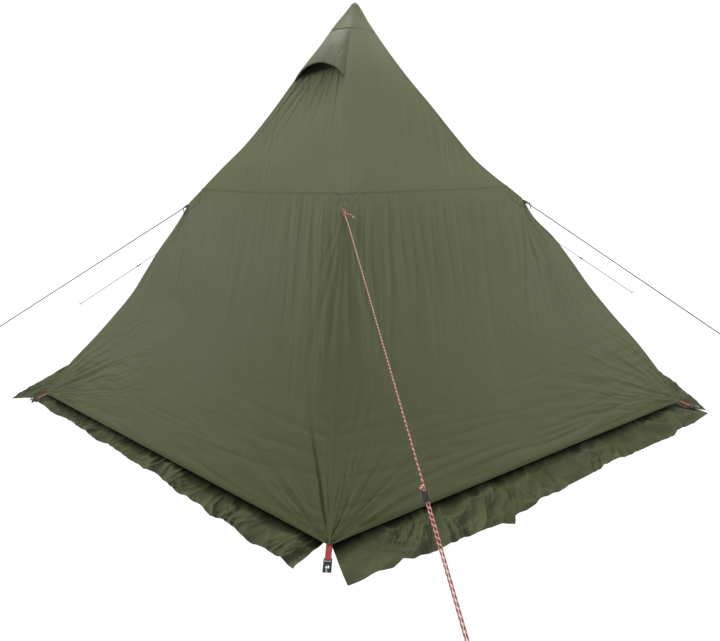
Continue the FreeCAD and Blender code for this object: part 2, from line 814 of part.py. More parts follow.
def build_guys():
    build_guy_tabs()
    loops = []
    for j, name in enumerate(CORNERS):
        angle = corner_angle(j)
        upper_end = (radial(angle) * (hem_radius * guy_share + guy_out)
                     + UP * (apex_height - rise * guy_share))
        peg_at = radial(angle + math.radians(peg_turns[j])) * peg_radius + UP * peg_z
        along = peg_at - upper_end
        length = along.Length
        along.normalize()
        side = UP.cross(along)
        side.normalize()
        runner_at = length * runner_share

        def line_place(distance):
            return axes_placement(upper_end + along * distance, along, side)

        loops.append(build_loop(j, line_place(-size["loop_to"])))
        piece("guy_line_" + name, build_cord(j, length, runner_at, line_place(0.0)))
        piece("line_runner_" + name, build_runner(j, line_place(runner_at)))
        piece("guy_peg_" + name, peg("gpeg_%d" % j, line_place(length)))
    group("guy_loops", loops)


# ---------------------------------------------------------------- centre pole
SECTIONS = ("lower", "lower_middle", "upper_middle", "upper")
tip_centre = 2274.0
pole_low, pole_high = 6.0, tip_centre - 16.0     # ends of the stacked tubes
section_len = define("section_len", (pole_high - pole_low) / len(SECTIONS))
define_all(tube_out=11.0, tube_in=10.0, spigot_out=9.95, spigot_in=8.9,
           spigot_len=60.0, shoulder=3.0)
define_all(foot_wide=30.0, foot_base=5.0, foot_neck=16.0, foot_high=42.0,
           foot_bore=11.05, foot_flare=12.0)
define_all(tip_ball=12.5, plug_rad=9.95, plug_len=34.0)
plug_above = 6.0                 # plug carried up into the collar and ball
collar_high, collar_gap = 8.0, 0.2

# half sections, as (radius, height)
PLAIN_TUBE = rectangle("tube_in", 0, "tube_out", "section_len")
SWAGED_TUBE = [("spigot_in", "-spigot_len"), ("spigot_out", "-spigot_len"),
               ("spigot_out", 0), ("tube_out", 0),
               ("tube_out", "section_len"), ("tube_in", "section_len"),
               ("tube_in", "shoulder"), ("spigot_in", 0)]
FOOT = [(0, 0), ("foot_wide", 0),
        ("foot_wide", "foot_base"), ("foot_neck", "foot_flare"),
        ("foot_neck", "foot_high"), ("foot_bore", "foot_high"),
        ("foot_bore", "foot_base"), (0, "foot_base")]


def turned(name, sketch_name, turn_name, corners):
    """A half section turned about Z."""
    body = new_body(name)
    sketch = add_sketch(body, sketch_name, "XZ_Plane")
    polygon(sketch, corners)
    revolve(body, sketch, turn_name)
    return body


def build_tip():
    """A ball and collar on a plug that sits in the top tube."""
    plug = doc.addObject("Part::Cylinder", "tip_plug")
    bind_size(plug, "Radius", "plug_rad")
    bind_property(plug, "Height", "Params.plug_len + %g" % plug_above,
                  size["plug_len"] + plug_above)
    plug.Placement = Placement(UP * (pole_high - size["plug_len"]), Rotation())
    ball = doc.addObject("Part::Sphere", "tip_ball_solid")
    bind_size(ball, "Radius", "tip_ball")
    ball.Placement = Placement(UP * tip_centre, Rotation())
    collar = doc.addObject("Part::Cylinder", "tip_collar")
    bind_size(collar, "Radius", "tube_out")
    collar.Height = collar_high
    collar.Placement = Placement(UP * (pole_high + collar_gap), Rotation())
    whole = doc.addObject("Part::MultiFuse", "tip_whole")
    whole.Shapes = [plug, collar, ball]
    piece("pole_tip", whole)


def build_pole():
    """Four steel tubes, all but the lowest with a spigot into the one below."""
    for n, name in enumerate(SECTIONS):
        body = turned("tube_%d" % n, "tube_half_%d" % n, "tube_turn_%d" % n,
                      SWAGED_TUBE if n else PLAIN_TUBE)
        body.Placement = Placement(UP * (pole_low + section_len * n), Rotation())
        piece("pole_section_" + name, body)
    # the foot is a rubber cup
    piece("pole_foot", turned("foot", "foot_half", "foot_turn", FOOT))
    build_tip()


# ---------------------------------------------------------------- build and export
build_canopy()
build_cap()
build_vents()
build_hem_webbing()
build_skirt()
build_door()
build_corners()
build_guys()
build_pole()

doc.recompute()
failed = [o.Name for o in doc.Objects if "Invalid" in o.State or "Error" in o.State]
if failed:
    raise SystemExit("failed objects: %s" % failed)
for label, feature in pieces.items():
    shape = feature.Shape
    if shape.isNull() or not shape.isValid() or not shape.Solids:
        raise SystemExit("bad shape: %s" % label)
for label, feature in pieces.items():
    feature.Shape.exportStep("parts/%s.step" % label)
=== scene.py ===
"""A six-sided pyramid tent with its pole, pegs and guy lines, in metres, +Z up.

The pole stands on the origin and the hem is a hexagon with one corner at the front (-Y).
Corners, ridges and faces count anticlockwise seen from above: face i lies between corner i
and corner i + 1, with its middle at -60 + 60 i degrees. On a face x runs along the hem from
its middle, to the right seen from outside, and y runs up the slope from the hem. "down" is
the share of the slope below the apex: 0 at the apex, 1 at the hem.
"""
import functools
import json
import math
import re
from collections import namedtuple

import bmesh
import bpy
import numpy as np
from mathutils import Matrix, Vector


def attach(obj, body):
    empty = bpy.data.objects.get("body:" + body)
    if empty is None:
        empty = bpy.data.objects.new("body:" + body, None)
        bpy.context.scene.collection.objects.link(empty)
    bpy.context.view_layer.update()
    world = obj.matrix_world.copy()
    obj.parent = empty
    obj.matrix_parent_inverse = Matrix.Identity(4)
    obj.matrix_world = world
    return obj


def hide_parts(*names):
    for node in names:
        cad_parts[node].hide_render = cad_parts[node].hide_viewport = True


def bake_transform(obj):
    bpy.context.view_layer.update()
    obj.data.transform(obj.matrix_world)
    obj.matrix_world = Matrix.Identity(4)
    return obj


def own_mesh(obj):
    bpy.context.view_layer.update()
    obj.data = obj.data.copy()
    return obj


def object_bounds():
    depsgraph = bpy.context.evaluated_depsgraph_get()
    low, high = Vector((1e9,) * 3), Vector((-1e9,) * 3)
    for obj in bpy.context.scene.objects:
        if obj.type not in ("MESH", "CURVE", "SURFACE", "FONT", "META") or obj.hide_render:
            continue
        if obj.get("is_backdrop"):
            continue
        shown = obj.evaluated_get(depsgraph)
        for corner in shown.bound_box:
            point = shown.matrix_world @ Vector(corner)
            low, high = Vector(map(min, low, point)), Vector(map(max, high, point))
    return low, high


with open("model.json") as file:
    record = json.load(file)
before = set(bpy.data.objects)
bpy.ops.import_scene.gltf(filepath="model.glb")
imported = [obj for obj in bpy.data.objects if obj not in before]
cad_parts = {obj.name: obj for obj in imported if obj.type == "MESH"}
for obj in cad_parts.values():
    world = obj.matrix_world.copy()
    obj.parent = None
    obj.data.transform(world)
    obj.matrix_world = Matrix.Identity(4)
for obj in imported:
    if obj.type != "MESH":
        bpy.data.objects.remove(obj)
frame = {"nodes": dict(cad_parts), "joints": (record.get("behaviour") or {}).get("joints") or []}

cad_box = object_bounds()
FINE = 1.0          # scales the cloth's segment counts
scene = bpy.context.scene

# ---------------------------------------------------------------- sizes
CORNER_R, APEX_Z, HEM_Z = 2.120, 2.300, 0.045
APOTHEM = CORNER_R * math.cos(math.pi / 6)
HEIGHT = APEX_Z - HEM_Z
SLOPE = math.hypot(APOTHEM, HEIGHT)
PITCH = math.atan2(HEIGHT, APOTHEM)

# places on the slope, as "down"
CAP_DOWN = 0.078                      # lower edge of the apex cap
HOOD_DOWN, VENT_DOWN = 0.0865, 0.210  # top and foot of a vent hood
OPEN_TOP, OPEN_FOOT = 0.092, 0.162    # vent opening under the hood
NET_TOP, NET_FOOT = 0.0885, 0.1640
SEAM_DOWN, GUY_DOWN = 0.498, 0.535
SEAM_Y = SLOPE * (1 - SEAM_DOWN)
VENT_Y = SLOPE * (1 - VENT_DOWN)
GUY_Y = SLOPE * (1 - GUY_DOWN)

CORNERS = ["front", "right_front", "right_back", "back", "left_back", "left_front"]
VENT_FACES = {5: "front", 2: "back"}
FRONT_SIDE = {0: -1.0, 5: 1.0}        # sign of x towards the front ridge, on its two faces

DOOR = 3                              # the face with the door
DOOR_LOW, DOOR_HIGH = 0.012, 1.950    # y of the door's two ends
DOOR_HALF_LOW, DOOR_HALF_HIGH = 0.480, 0.170

Face = namedtuple("Face", "hem across up out")


def face_axes(i):
    """Middle of the hem of face i and the directions of its x, its y and outward."""
    turn = math.radians(-60 + 60 * i)
    cos, sin = math.cos(turn), math.sin(turn)
    across = np.array([-sin, cos, 0.0])
    up = np.array([-cos * math.cos(PITCH), -sin * math.cos(PITCH), math.sin(PITCH)])
    return Face(np.array([APOTHEM * cos, APOTHEM * sin, HEM_Z]), across, up, np.cross(across, up))


FACES = [face_axes(i) for i in range(6)]


def half_width(y):
    return CORNER_R / 2 * (1 - y / SLOPE)


def door_half(y):
    rise = (y - DOOR_LOW) / (DOOR_HIGH - DOOR_LOW)
    return DOOR_HALF_LOW + (DOOR_HALF_HIGH - DOOR_HALF_LOW) * rise


def smooth(start, end, x):
    t = np.clip((x - start) / (end - start), 0, 1)
    return t * t * (3 - 2 * t)


# ---------------------------------------------------------------- seeded noise and curves
@functools.cache
def gradients(seed):
    random = np.random.RandomState(seed)
    order = random.permutation(256)
    angle = random.rand(256) * 2 * np.pi
    return np.concatenate([order, order]), np.cos(angle), np.sin(angle)


def perlin(x, y, seed):
    """Gradient noise, about -0.7 to 0.7."""
    order, grad_x, grad_y = gradients(seed)
    x, y = np.broadcast_arrays(np.asarray(x, float), np.asarray(y, float))
    col, row = np.floor(x).astype(int), np.floor(y).astype(int)
    x, y = x - col, y - row
    ease_x, ease_y = (t ** 3 * (t * (t * 6 - 15) + 10) for t in (x, y))

    def corner(i, j):
        pick = order[order[(col + i) & 255] + ((row + j) & 255)]
        return grad_x[pick] * (x - i) + grad_y[pick] * (y - j)

    low = corner(0, 0) * (1 - ease_x) + corner(1, 0) * ease_x
    high = corner(0, 1) * (1 - ease_x) + corner(1, 1) * ease_x
    return low * (1 - ease_y) + high * ease_y


def fold(x, y, seed):
    """Sharp valleys between flat crests, -1.3 to 0.7: how thin coated cloth creases."""
    return 0.7 - 2.0 * np.exp(-((perlin(x, y, seed) / 0.16) ** 2))


def spline(points):
    """A smooth curve through (down, value) points, as a lookup."""
    at, value = np.array(points, float).T
    slope = np.gradient(value, at)
    fine = np.linspace(at[0], at[-1], 800)
    i = np.clip(np.searchsorted(at, fine, side="right") - 1, 0, len(at) - 2)
    gap = at[i + 1] - at[i]
    t = (fine - at[i]) / gap
    curve = ((2 * t ** 3 - 3 * t ** 2 + 1) * value[i]
             + (t ** 3 - 2 * t ** 2 + t) * gap * slope[i]
             + (-2 * t ** 3 + 3 * t ** 2) * value[i + 1]
             + (t ** 3 - t ** 2) * gap * slope[i + 1])
    return lambda x: np.interp(x, fine, curve)


# how far each ridge stands off its straight line, as (down, distance):
# mostly slack above and below the guy tabs, pulled out at them
RIDGE = [spline(points) for points in (
    [(0, 0), (.12, -.008), (.27, -.022), (.42, -.012), (.535, .020), (.64, .006), (.80, -.012),
     (1, 0)],
    [(0, 0), (.06, -.016), (.12, -.030), (.19, -.038), (.28, -.036), (.36, -.038), (.42, -.034),
     (.47, -.010), (.51, .014), (.535, .022), (.58, .016), (.63, .032), (.68, .028), (.74, .016),
     (.80, .014), (.88, .020), (.94, .012), (1, 0)],
    [(0, 0), (.12, -.010), (.27, -.026), (.42, -.014), (.535, .020), (.64, .004), (.80, -.014),
     (1, 0)],
    [(0, 0), (.12, -.006), (.27, -.014), (.42, -.008), (.535, .020), (.64, .004), (.80, -.008),
     (1, 0)],
    [(0, 0), (.12, -.006), (.27, -.014), (.42, -.008), (.535, .020), (.64, .004), (.80, -.010),
     (1, 0)],
    [(0, 0), (.06, .006), (.12, .000), (.20, -.006), (.30, -.016), (.38, -.012), (.44, .008),
     (.50, .022), (.535, .024), (.60, .012), (.65, .006), (.70, -.010), (.745, -.025),
     (.80, -.024), (.86, -.015), (.93, .002), (1, 0)],
)]
# the front ridge wanders a little to the left, as (down, x)
WANDER = spline([(0, 0), (.06, -.016), (.14, -.036), (.22, -.042), (.32, -.036), (.42, -.022),
                 (.50, -.012), (.535, -.004), (.60, -.004), (.75, -.004), (1, 0)])
# how much each ridge is rounded off instead of running to a crease, and over what breadth
ROUND = [spline([(0, 0), (.05, .005), (.10, .0090), (.20, .0112), (.35, .0112), (.50, .0120),
                 (.56, .015), (.75, .024), (.93, .014), (1, .001)])]
ROUND += [spline([(0, 0), (.3, .002), (.5, .003), (.75, .006), (1, .001)])] * 5
BREADTH = [spline([(0, .030), (.1, .050), (.2, .070), (.35, .080), (.5, .095), (.62, .15),
                   (.75, .17), (1, .17)])]
BREADTH += [lambda down: 0.17 + 0 * down] * 5
FACE_SAG = spline([(0, 0), (.1, -.002), (.28, -.012), (.46, -.007), (.52, -.006), (.75, -.020),
                   (.92, -.010), (1, .004)])


# ---------------------------------------------------------------- creases of the cloth
def polar(x, y, centre):
    """Distance and bearing of points on a face from a centre."""
    run, rise = x - centre[0], y - centre[1]
    return np.hypot(run, rise) + 1e-6, np.arctan2(rise, run)


def off_heading(bearing, heading):
    return (bearing - heading + np.pi) % (2 * np.pi) - np.pi


def fan(x, y, centre, heading, spread, start, reach, count, depth, seed):
    """Creases running away from a point where the cloth is pulled."""
    dist, bearing = polar(x, y, centre)
    window = 1 - smooth(spread * 0.75, spread, np.abs(off_heading(bearing, heading)))
    wobble = 0.10 * perlin(dist / 0.22, bearing * 2, seed + 7)
    creases = fold((bearing + wobble) * count, 0.6 * np.log(dist + 0.05) + 3, seed)
    length = smooth(0.0, start, dist) * np.exp(-((dist / reach) ** 1.35))
    vary = 0.6 + 0.8 * np.clip(perlin(bearing * count * 0.45, 1.7, seed + 3) + 0.35, 0, 1)
    return depth * creases * length * window * vary


def pleats(x, y, centre, heading, spread, count, reach, breadth, depth, seed):
    """Single sharp creases from a point, each with its own length, bend and depth."""
    random = np.random.RandomState(seed)
    dist, bearing = polar(x, y, centre)
    total = np.zeros_like(dist)
    for n in range(count):
        turn, longer, wider, bend, deeper, _ = random.rand(6)
        aim = heading + spread * (2 * (n + 0.5 + 0.7 * (turn - 0.5)) / count - 1)
        off = off_heading(bearing, aim)
        length = reach * (0.35 + 0.9 * longer)
        wide = breadth * (0.7 + 0.7 * wider) * (0.55 + 1.3 * dist / reach)
        z = (dist * np.sin(np.clip(off, -1.4, 1.4)) + 0.30 * (bend - 0.5) * dist * dist) / wide
        window = smooth(0.0, 0.022, dist) * np.exp(-((dist / length) ** 2.2))
        window = window * (np.abs(off) < 1.4)
        shape = 0.5 * np.exp(-(((np.abs(z) - 1.9) / 1.1) ** 2)) - np.exp(-z * z)
        total += depth * (0.5 + 0.9 * deeper) * window * shape
    return total


def rounding(i, x, half, down):
    """How far the cloth near a ridge lies inside the crease the two faces would make."""
    j = (i + 1) % 6
    amount = np.where(x > 0, ROUND[j](down), ROUND[i](down))
    breadth = np.where(x > 0, BREADTH[j](down), BREADTH[i](down))
    return amount * np.clip(1 - (half - np.abs(x)) / breadth, 0, 1) ** 2


def hung_folds(i, x, y, across, half):
    """Long soft folds below the horizontal seam, shallower ones above it, and its puckers."""
    below = SEAM_Y - y
    side = FRONT_SIDE.get(i, 0.0)
    # the folds lean in line with the front ridge, and gather towards it
    lean = x + 0.33 * side * y + 0.06 * perlin(x / 0.6, y / 0.8, 31 + i)
    toward = np.exp(-np.clip(1 - side * across, 0, 2) * half / 0.30) if side else 0.45
    low = smooth(0.0, 0.10, below) * (1 - 0.85 * smooth(0.45, 1.20, below))
    patchy = np.clip(perlin(lean / 0.22, y / 0.9 + 2 * i, 37 + i) * 1.8 + 0.45, 0, 1.2)
    total = (0.0019 * fold(lean / 0.085, y / 1.3 + 5 * i, 33 + i) * low
             * (0.35 * patchy + 0.9 * toward))
    total = total + (0.0013 * fold(lean / 0.038, y / 0.9 + 1.3 * i, 39 + i) * low
                     * (0.15 * patchy + 0.9 * toward))
    total = total + 0.0007 * perlin(lean / 0.020, y / 0.50, 35 + i) * low
    high = smooth(0.0, 0.12, -below) * (1 - smooth(0.90, 1.15, -below))
    patchy = np.clip(perlin(lean / 0.16, y / 0.7 + 3 * i, 47 + i) * 1.8 + 0.4, 0, 1.2)
    total = total + 0.0013 * fold(lean / 0.060, y / 0.9 + 3 * i, 43 + i) * high * patchy
    # a little all-over unevenness, drawn out down the cloth
    total = total + 0.0009 * perlin(lean / 0.10, y / 0.45, 45 + i)
    near = np.exp(-np.abs(below) / 0.030)
    return total + 0.0022 * perlin(x / 0.016, y / 0.12, 51 + i) * near


def edge_gathers(i, x, y, across, edge, fade):
    """Creases gathered along the ridges and puckers along the hem."""
    along = y * 1.05
    vary = 0.6 + 1.5 * np.clip(perlin(along / 0.30, 2.0 + np.sign(x), 61 + i), 0, 1)
    at_front = FRONT_SIDE.get(i, 0.0) * x > 0
    slant = fold((along + 0.8 * edge) / 0.040, edge / 0.30 + 9 * np.sign(x), 63 + i)
    ridge = (0.0022 * slant * np.exp(-edge / 0.075) * fade * vary
             * np.where(at_front, 0.12, 1.0))
    hem = (0.0017 * fold(x / 0.62 + 0.6, (y - 0.05 * across ** 2) / 0.050, 71 + i)
           * np.exp(-y / 0.16) * smooth(0.0, 0.03, y) * (1.2 if i == 0 else 0.7))
    above = (0.0009 * fold(x / 0.75, y / 0.085, 73 + i) * np.exp(-((y - 0.30) / 0.22) ** 2)
             * (0.2 + 0.8 * smooth(0.1, 0.9, np.abs(across))))
    return ridge + hem + above


def corner_creases(x, y, edge, side, j):
    """Creases fanning from the hem corner j, which is on this side (-1 or 1) of the face."""
    corner = (side * CORNER_R / 2, 0.0)
    middle = math.atan2(SLOPE, CORNER_R / 2) / 2
    if side > 0:
        middle = math.pi - middle
    tag = 3 * j + side
    if j == 0:
        total = pleats(x, y, corner, middle - side * 0.02, spread=0.52, count=13, reach=0.36,
                       breadth=0.0050, depth=0.0052, seed=81 + tag)
        total += pleats(x, y, corner, middle, spread=0.50, count=7, reach=0.50,
                        breadth=0.0110, depth=0.0022, seed=91 + tag)
    else:
        total = fan(x, y, corner, middle, spread=0.62, start=0.05, reach=0.52, count=15.0,
                    depth=0.003289, seed=81 + tag)
        total += pleats(x, y, corner, middle, spread=0.56, count=11, reach=0.52,
                        breadth=0.0085, depth=0.0036, seed=481 + tag)
    total += fan(x, y, corner, middle, spread=0.60, start=0.12, reach=0.80, count=7.0,
                 depth=0.00156, seed=101 + tag)
    return total * smooth(0.0, 0.018, edge)


def tab_creases(x, y, edge, side, j, strength):
    """Creases below and above the guy tab on ridge j, and the point it pulls out."""
    tab_x = side * half_width(GUY_Y)
    tab = (tab_x, GUY_Y)
    heading = math.atan2(-SLOPE, side * CORNER_R / 2)
    tag = 3 * j + side
    if j == 0:
        total = pleats(x, y, (tab_x, GUY_Y + 0.05), heading - side * 0.10, spread=0.13,
                       count=6, reach=0.95, breadth=0.0130, depth=0.0021, seed=121 + tag)
        total += pleats(x, y, (tab_x, GUY_Y + 0.10), heading - side * 0.24, spread=0.24,
                        count=6, reach=0.60, breadth=0.0100, depth=0.0014, seed=221 + tag)
    else:
        total = fan(x, y, tab, heading - side * 0.30, spread=0.55, start=0.06, reach=0.55,
                    count=17.0, depth=0.0028, seed=121 + tag)
    total += fan(x, y, tab, heading + math.pi + side * 0.45, spread=0.60, start=0.03,
                 reach=0.20, count=9.0, depth=0.0022, seed=141 + tag)
    dist = np.hypot(x - tab_x, (y - GUY_Y) * 0.8)
    return total * smooth(0.0, 0.014, edge) * strength + 0.010 * np.exp(-dist / 0.055)


def relief(i, x, y):
    """How far the cloth of face i stands off its flat place."""
    down = 1 - y / SLOPE
    half = np.maximum(half_width(y), 1e-4)
    across = np.clip(x / half, -1, 1)
    edge = half - np.abs(x)                # distance from the nearer ridge
    share = 0.5 + 0.5 * across
    stand = RIDGE[i](down) * (1 - share) ** 1.5 + RIDGE[(i + 1) % 6](down) * share ** 1.5
    stand = stand + FACE_SAG(down) * (1 - across ** 2) - rounding(i, x, half, down)
    quiet = 0.55 if i == DOOR else 1.0
    strong = 1.0 if i in FRONT_SIDE else 0.85
    fade = smooth(0.0, 0.05, edge)         # wrinkles die out at a ridge, so both faces meet
    wrinkles = 0.0035 * perlin(x / 0.42 + 11 * i, y / 0.55, 20 + i) * smooth(0, 0.2, edge)
    wrinkles = wrinkles + hung_folds(i, x, y, across, half)
    wrinkles = wrinkles + edge_gathers(i, x, y, across, edge, fade)
    wrinkles = wrinkles * quiet * strong * fade * 1.3
    for side, j in ((-1, i), (1, (i + 1) % 6)):
        wrinkles = wrinkles + corner_creases(x, y, edge, side, j) * quiet
        wrinkles = wrinkles + tab_creases(x, y, edge, side, j, 0.6 if i == DOOR else 1.0)
    if i in VENT_FACES:
        # folds running down from the vent, and the cloth sunk under it
        below = VENT_Y - y
        window = smooth(-0.14, -0.05, below) * np.exp(-np.clip(below, 0, None) / 0.30) * fade
        spread = 0.27 * x / half
        wrinkles = wrinkles + 0.0032 * fold(spread / 0.066, below / 0.9, 161 + i) * window
        wrinkles = wrinkles + 0.0007 * fold(spread / 0.026, below / 0.6, 165 + i) * window
        stand = stand - (0.014 * (1 - across ** 2) * smooth(-0.36, -0.05, below)
                         * np.exp(-(np.clip(below, 0, None) / 0.16)))
    if i == DOOR:
        # the cloth lies flat beside the zip
        from_zip = np.minimum(np.abs(x - door_half(y) - 0.012), 1.0)
        calm = 1 - np.exp(-((from_zip / 0.09) ** 2)) * (y < DOOR_HIGH + 0.05)
        stand = stand * (0.25 + 0.75 * calm)
        wrinkles = wrinkles * calm
    return stand + wrinkles * smooth(0.0, 0.12, SLOPE - y)


def place(i, x, y, off=0.0, stand=None):
    """Points off metres outside the cloth of face i, whose relief is stand."""
    face = FACES[i]
    across = np.clip(x / np.maximum(half_width(y), 1e-4), -1, 1)
    # the outward direction turns towards the neighbour's at a ridge
    turn = (0.5 * np.abs(across) ** 3)[..., None]
    beyond = np.where((across > 0)[..., None], FACES[(i + 1) % 6].out, FACES[(i - 1) % 6].out)
    out = face.out * (1 - turn) + beyond * turn
    out /= np.linalg.norm(out, axis=-1, keepdims=True)
    if stand is None:
        stand = relief(i, x, y)
    points = (face.hem + face.across * x[..., None] + face.up * y[..., None]
              + out * (stand + off)[..., None])
    if i in FRONT_SIDE:
        share = 0.5 + 0.5 * FRONT_SIDE[i] * across
        points[..., 0] += WANDER(1 - y / SLOPE) * share ** 2
    return points


# ---------------------------------------------------------------- mesh helpers
def build(name, verts, faces, attrs=None):
    """A smooth mesh object of the vertices that faces use, with float attributes."""
    verts = np.asarray(verts, np.float32).reshape(-1, 3)
    faces = np.asarray(faces, np.int32)
    used = np.zeros(len(verts), bool)
    used[faces.ravel()] = True
    remap = np.cumsum(used) - 1
    mesh = bpy.data.meshes.new(name)
    mesh.vertices.add(int(used.sum()))
    mesh.vertices.foreach_set("co", verts[used].ravel())
    count, sides = faces.shape
    mesh.loops.add(count * sides)
    mesh.loops.foreach_set("vertex_index", remap[faces.ravel()].astype(np.int32))
    mesh.polygons.add(count)
    starts = np.arange(0, count * sides, sides, dtype=np.int32)
    mesh.polygons.foreach_set("loop_start", starts)
    mesh.polygons.foreach_set("loop_total", np.full(count, sides, np.int32))
    mesh.polygons.foreach_set("use_smooth", np.ones(count, bool))
    for key, value in (attrs or {}).items():
        attribute = mesh.attributes.new(key, "FLOAT", "POINT")
        attribute.data.foreach_set("value", np.asarray(value, np.float32).ravel()[used])
    mesh.update(calc_edges=True)
    mesh.validate()
    ob = bpy.data.objects.new(name, mesh)
    scene.collection.objects.link(ob)
    return ob


def fit(ob, material, body, slot, *replaced):
    ob.data.materials.append(material)
    if body:
        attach(ob, body)
    if replaced:
        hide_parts(*replaced)


def grid_faces(rows, cols, wrap=False, flip=False):
    row = np.arange(rows - 1)[:, None] * cols
    col = np.arange(cols if wrap else cols - 1)[None, :]
    after = (col + 1) % cols
    quads = np.stack([row + col, row + after, row + cols + after, row + cols + col], -1)
    quads = quads.reshape(-1, 4)
    return quads[:, ::-1] if flip else quads


def shell(layers, rim_step):
    """Vertices and faces of closed sheets from (outer, inner) grids of points."""
    verts, faces, first = [], [], 0
    for outer, inner in layers:
        rows, cols = outer.shape[:2]
        size = rows * cols
        grid = grid_faces(rows, cols, flip=True)
        index = np.arange(size).reshape(rows, cols)
        loop = np.concatenate([index[0, :-1], index[:-1, -1],
                               index[-1, :0:-1], index[:0:-1, 0]])
        after = np.roll(loop, -1)
        rim = np.stack([after, loop, loop + size, after + size], 1)[:, ::rim_step]
        verts += [outer.reshape(-1, 3), inner.reshape(-1, 3)]
        faces += [grid + first, grid[:, ::-1] + first + size, rim + first]
        first += 2 * size
    return np.concatenate(verts), np.concatenate(faces)


def twice(grids):
    """Values for a shell's vertices: each grid once for its outer, once for its inner side."""
    return np.concatenate([grid.ravel() for grid in grids for _ in range(2)])


def layer(i, x, y, outer, inner):
    """Outer and inner points of a sheet on face i, with their x and y."""
    stand = relief(i, x, y)
    return place(i, x, y, outer, stand), place(i, x, y, inner, stand), x, y


def sheet(name, layers):
    outer, inner, x, y = zip(*layers)
    verts, faces = shell(zip(outer, inner), rim_step=-1)
    attrs = {"fx": twice([np.abs(grid) for grid in x]), "fy": twice(y), "hgt": verts[:, 2]}
    return build(name, verts, faces, attrs)


def tidy(ob, close=False):
    """Turns all faces outward, after closing open holes if asked."""
    bm = bmesh.new()
    bm.from_mesh(ob.data)
    if close:
        rims = [edge for edge in bm.edges if edge.is_boundary]
        bmesh.ops.holes_fill(bm, edges=rims, sides=0)
        bmesh.ops.remove_doubles(bm, verts=bm.verts, dist=1e-5)
    bmesh.ops.recalc_face_normals(bm, faces=bm.faces)
    for face in bm.faces:
        face.smooth = True
    bm.to_mesh(ob.data)
    bm.free()


def unit(vectors):
    return vectors / (np.linalg.norm(vectors, axis=-1, keepdims=True) + 1e-12)


def lengths(path):
    """Distance of each point of a path from its start."""
    steps = np.linalg.norm(np.diff(path, axis=0), axis=1)
    return np.concatenate([[0], np.cumsum(steps)])


class Parts:
    """Collects cords and straps into one mesh, with pu along and pv round or across them."""

    def __init__(self):
        self.verts, self.faces, self.pu, self.pv, self.count = [], [], [], [], 0

    def add(self, verts, faces, pu, pv):
        verts = verts.reshape(-1, 3)
        self.verts.append(verts)
        self.faces.append(faces + self.count)
        self.pu.append(pu.ravel())
        self.pv.append(pv.ravel())
        self.count += len(verts)

    def tube(self, path, radius, seg=8, caps=True, start=0.0, braid=0.0):
        """A round cord along a path, its ends drawn in so that it closes."""
        path = np.asarray(path, float)
        ahead = unit(np.gradient(path, axis=0))
        up = np.array([0, 0, 1.0]) if abs(ahead[0][2]) < 0.9 else np.array([1.0, 0, 0])
        normal = np.zeros_like(path)
        for i, way in enumerate(ahead):
            up = unit(up - way * (up @ way))
            normal[i] = up
        side = np.cross(ahead, normal)
        radius = np.broadcast_to(np.asarray(radius, float), (len(path),))
        angle = np.arange(seg) / seg * 2 * np.pi
        pu, turn = np.meshgrid(lengths(path) + start, angle, indexing="ij")
        wave = 2 * np.pi * pu / 0.011         # braid pitch
        weave = np.sin(wave + 2 * turn) * np.sin(wave - 2 * turn)
        spokes = np.cos(turn)[..., None] * normal[:, None] + np.sin(turn)[..., None] * side[:, None]
        ring = path[:, None] + (radius[:, None] * (1 + braid * weave))[..., None] * spokes
        pv = turn / (2 * np.pi)

        def cap(end, sign):
            # columns: share of the ring's size, share of the radius beyond the end
            return [path[end] + ahead[end] * sign * radius[end] * beyond
                    + size * (ring[end] - path[end])
                    for size, beyond in ((0.8, 0.6), (0.35, 0.95), (0.02, 1.0))]

        if caps:
            ring = np.concatenate([cap(0, -1)[::-1], ring, cap(-1, 1)])
            pu, pv = (np.pad(value, ((3, 3), (0, 0)), "edge") for value in (pu, pv))
        self.add(ring, grid_faces(len(ring), seg, wrap=True), pu, pv)

    def ribbon(self, path, side, half, thick):
        """A flat strap swept along a path; side is its width direction."""
        ahead = unit(np.gradient(path, axis=0))
        side = unit(side - ahead * (side * ahead).sum(1, keepdims=True))
        normal = np.cross(ahead, side)
        x = np.linspace(-1, 1, 8)
        z = 0.5 * (1 - 0.5 * np.abs(x) ** 8)
        x, z = np.concatenate([x, x[::-1]]), np.concatenate([z, -z[::-1]])
        count = len(x)
        ring = (path[:, None] + side[:, None] * (x * half)[None, :, None]
                + normal[:, None] * (z * thick)[None, :, None])
        ends = [end.mean(0) + (end - end.mean(0)) * 0.98 for end in (ring[0], ring[-1])]
        ring = np.concatenate([ends[:1], ring, ends[1:]])
        pu = np.repeat(np.pad(lengths(path), 1, "edge")[:, None], count, 1)
        pv = np.repeat((x * half)[None], len(ring), 0)
        q = np.arange(count // 2 - 1)
        end = np.stack([q, q + 1, count - 2 - q, count - 1 - q], 1)
        last = end[:, ::-1] + (len(ring) - 1) * count
        faces = np.concatenate([grid_faces(len(ring), count, wrap=True), end, last])
        self.add(ring, faces, pu, pv)

    def make(self, name):
        attrs = {"pu": np.concatenate(self.pu), "pv": np.concatenate(self.pv)}
        return build(name, np.concatenate(self.verts), np.concatenate(self.faces), attrs)


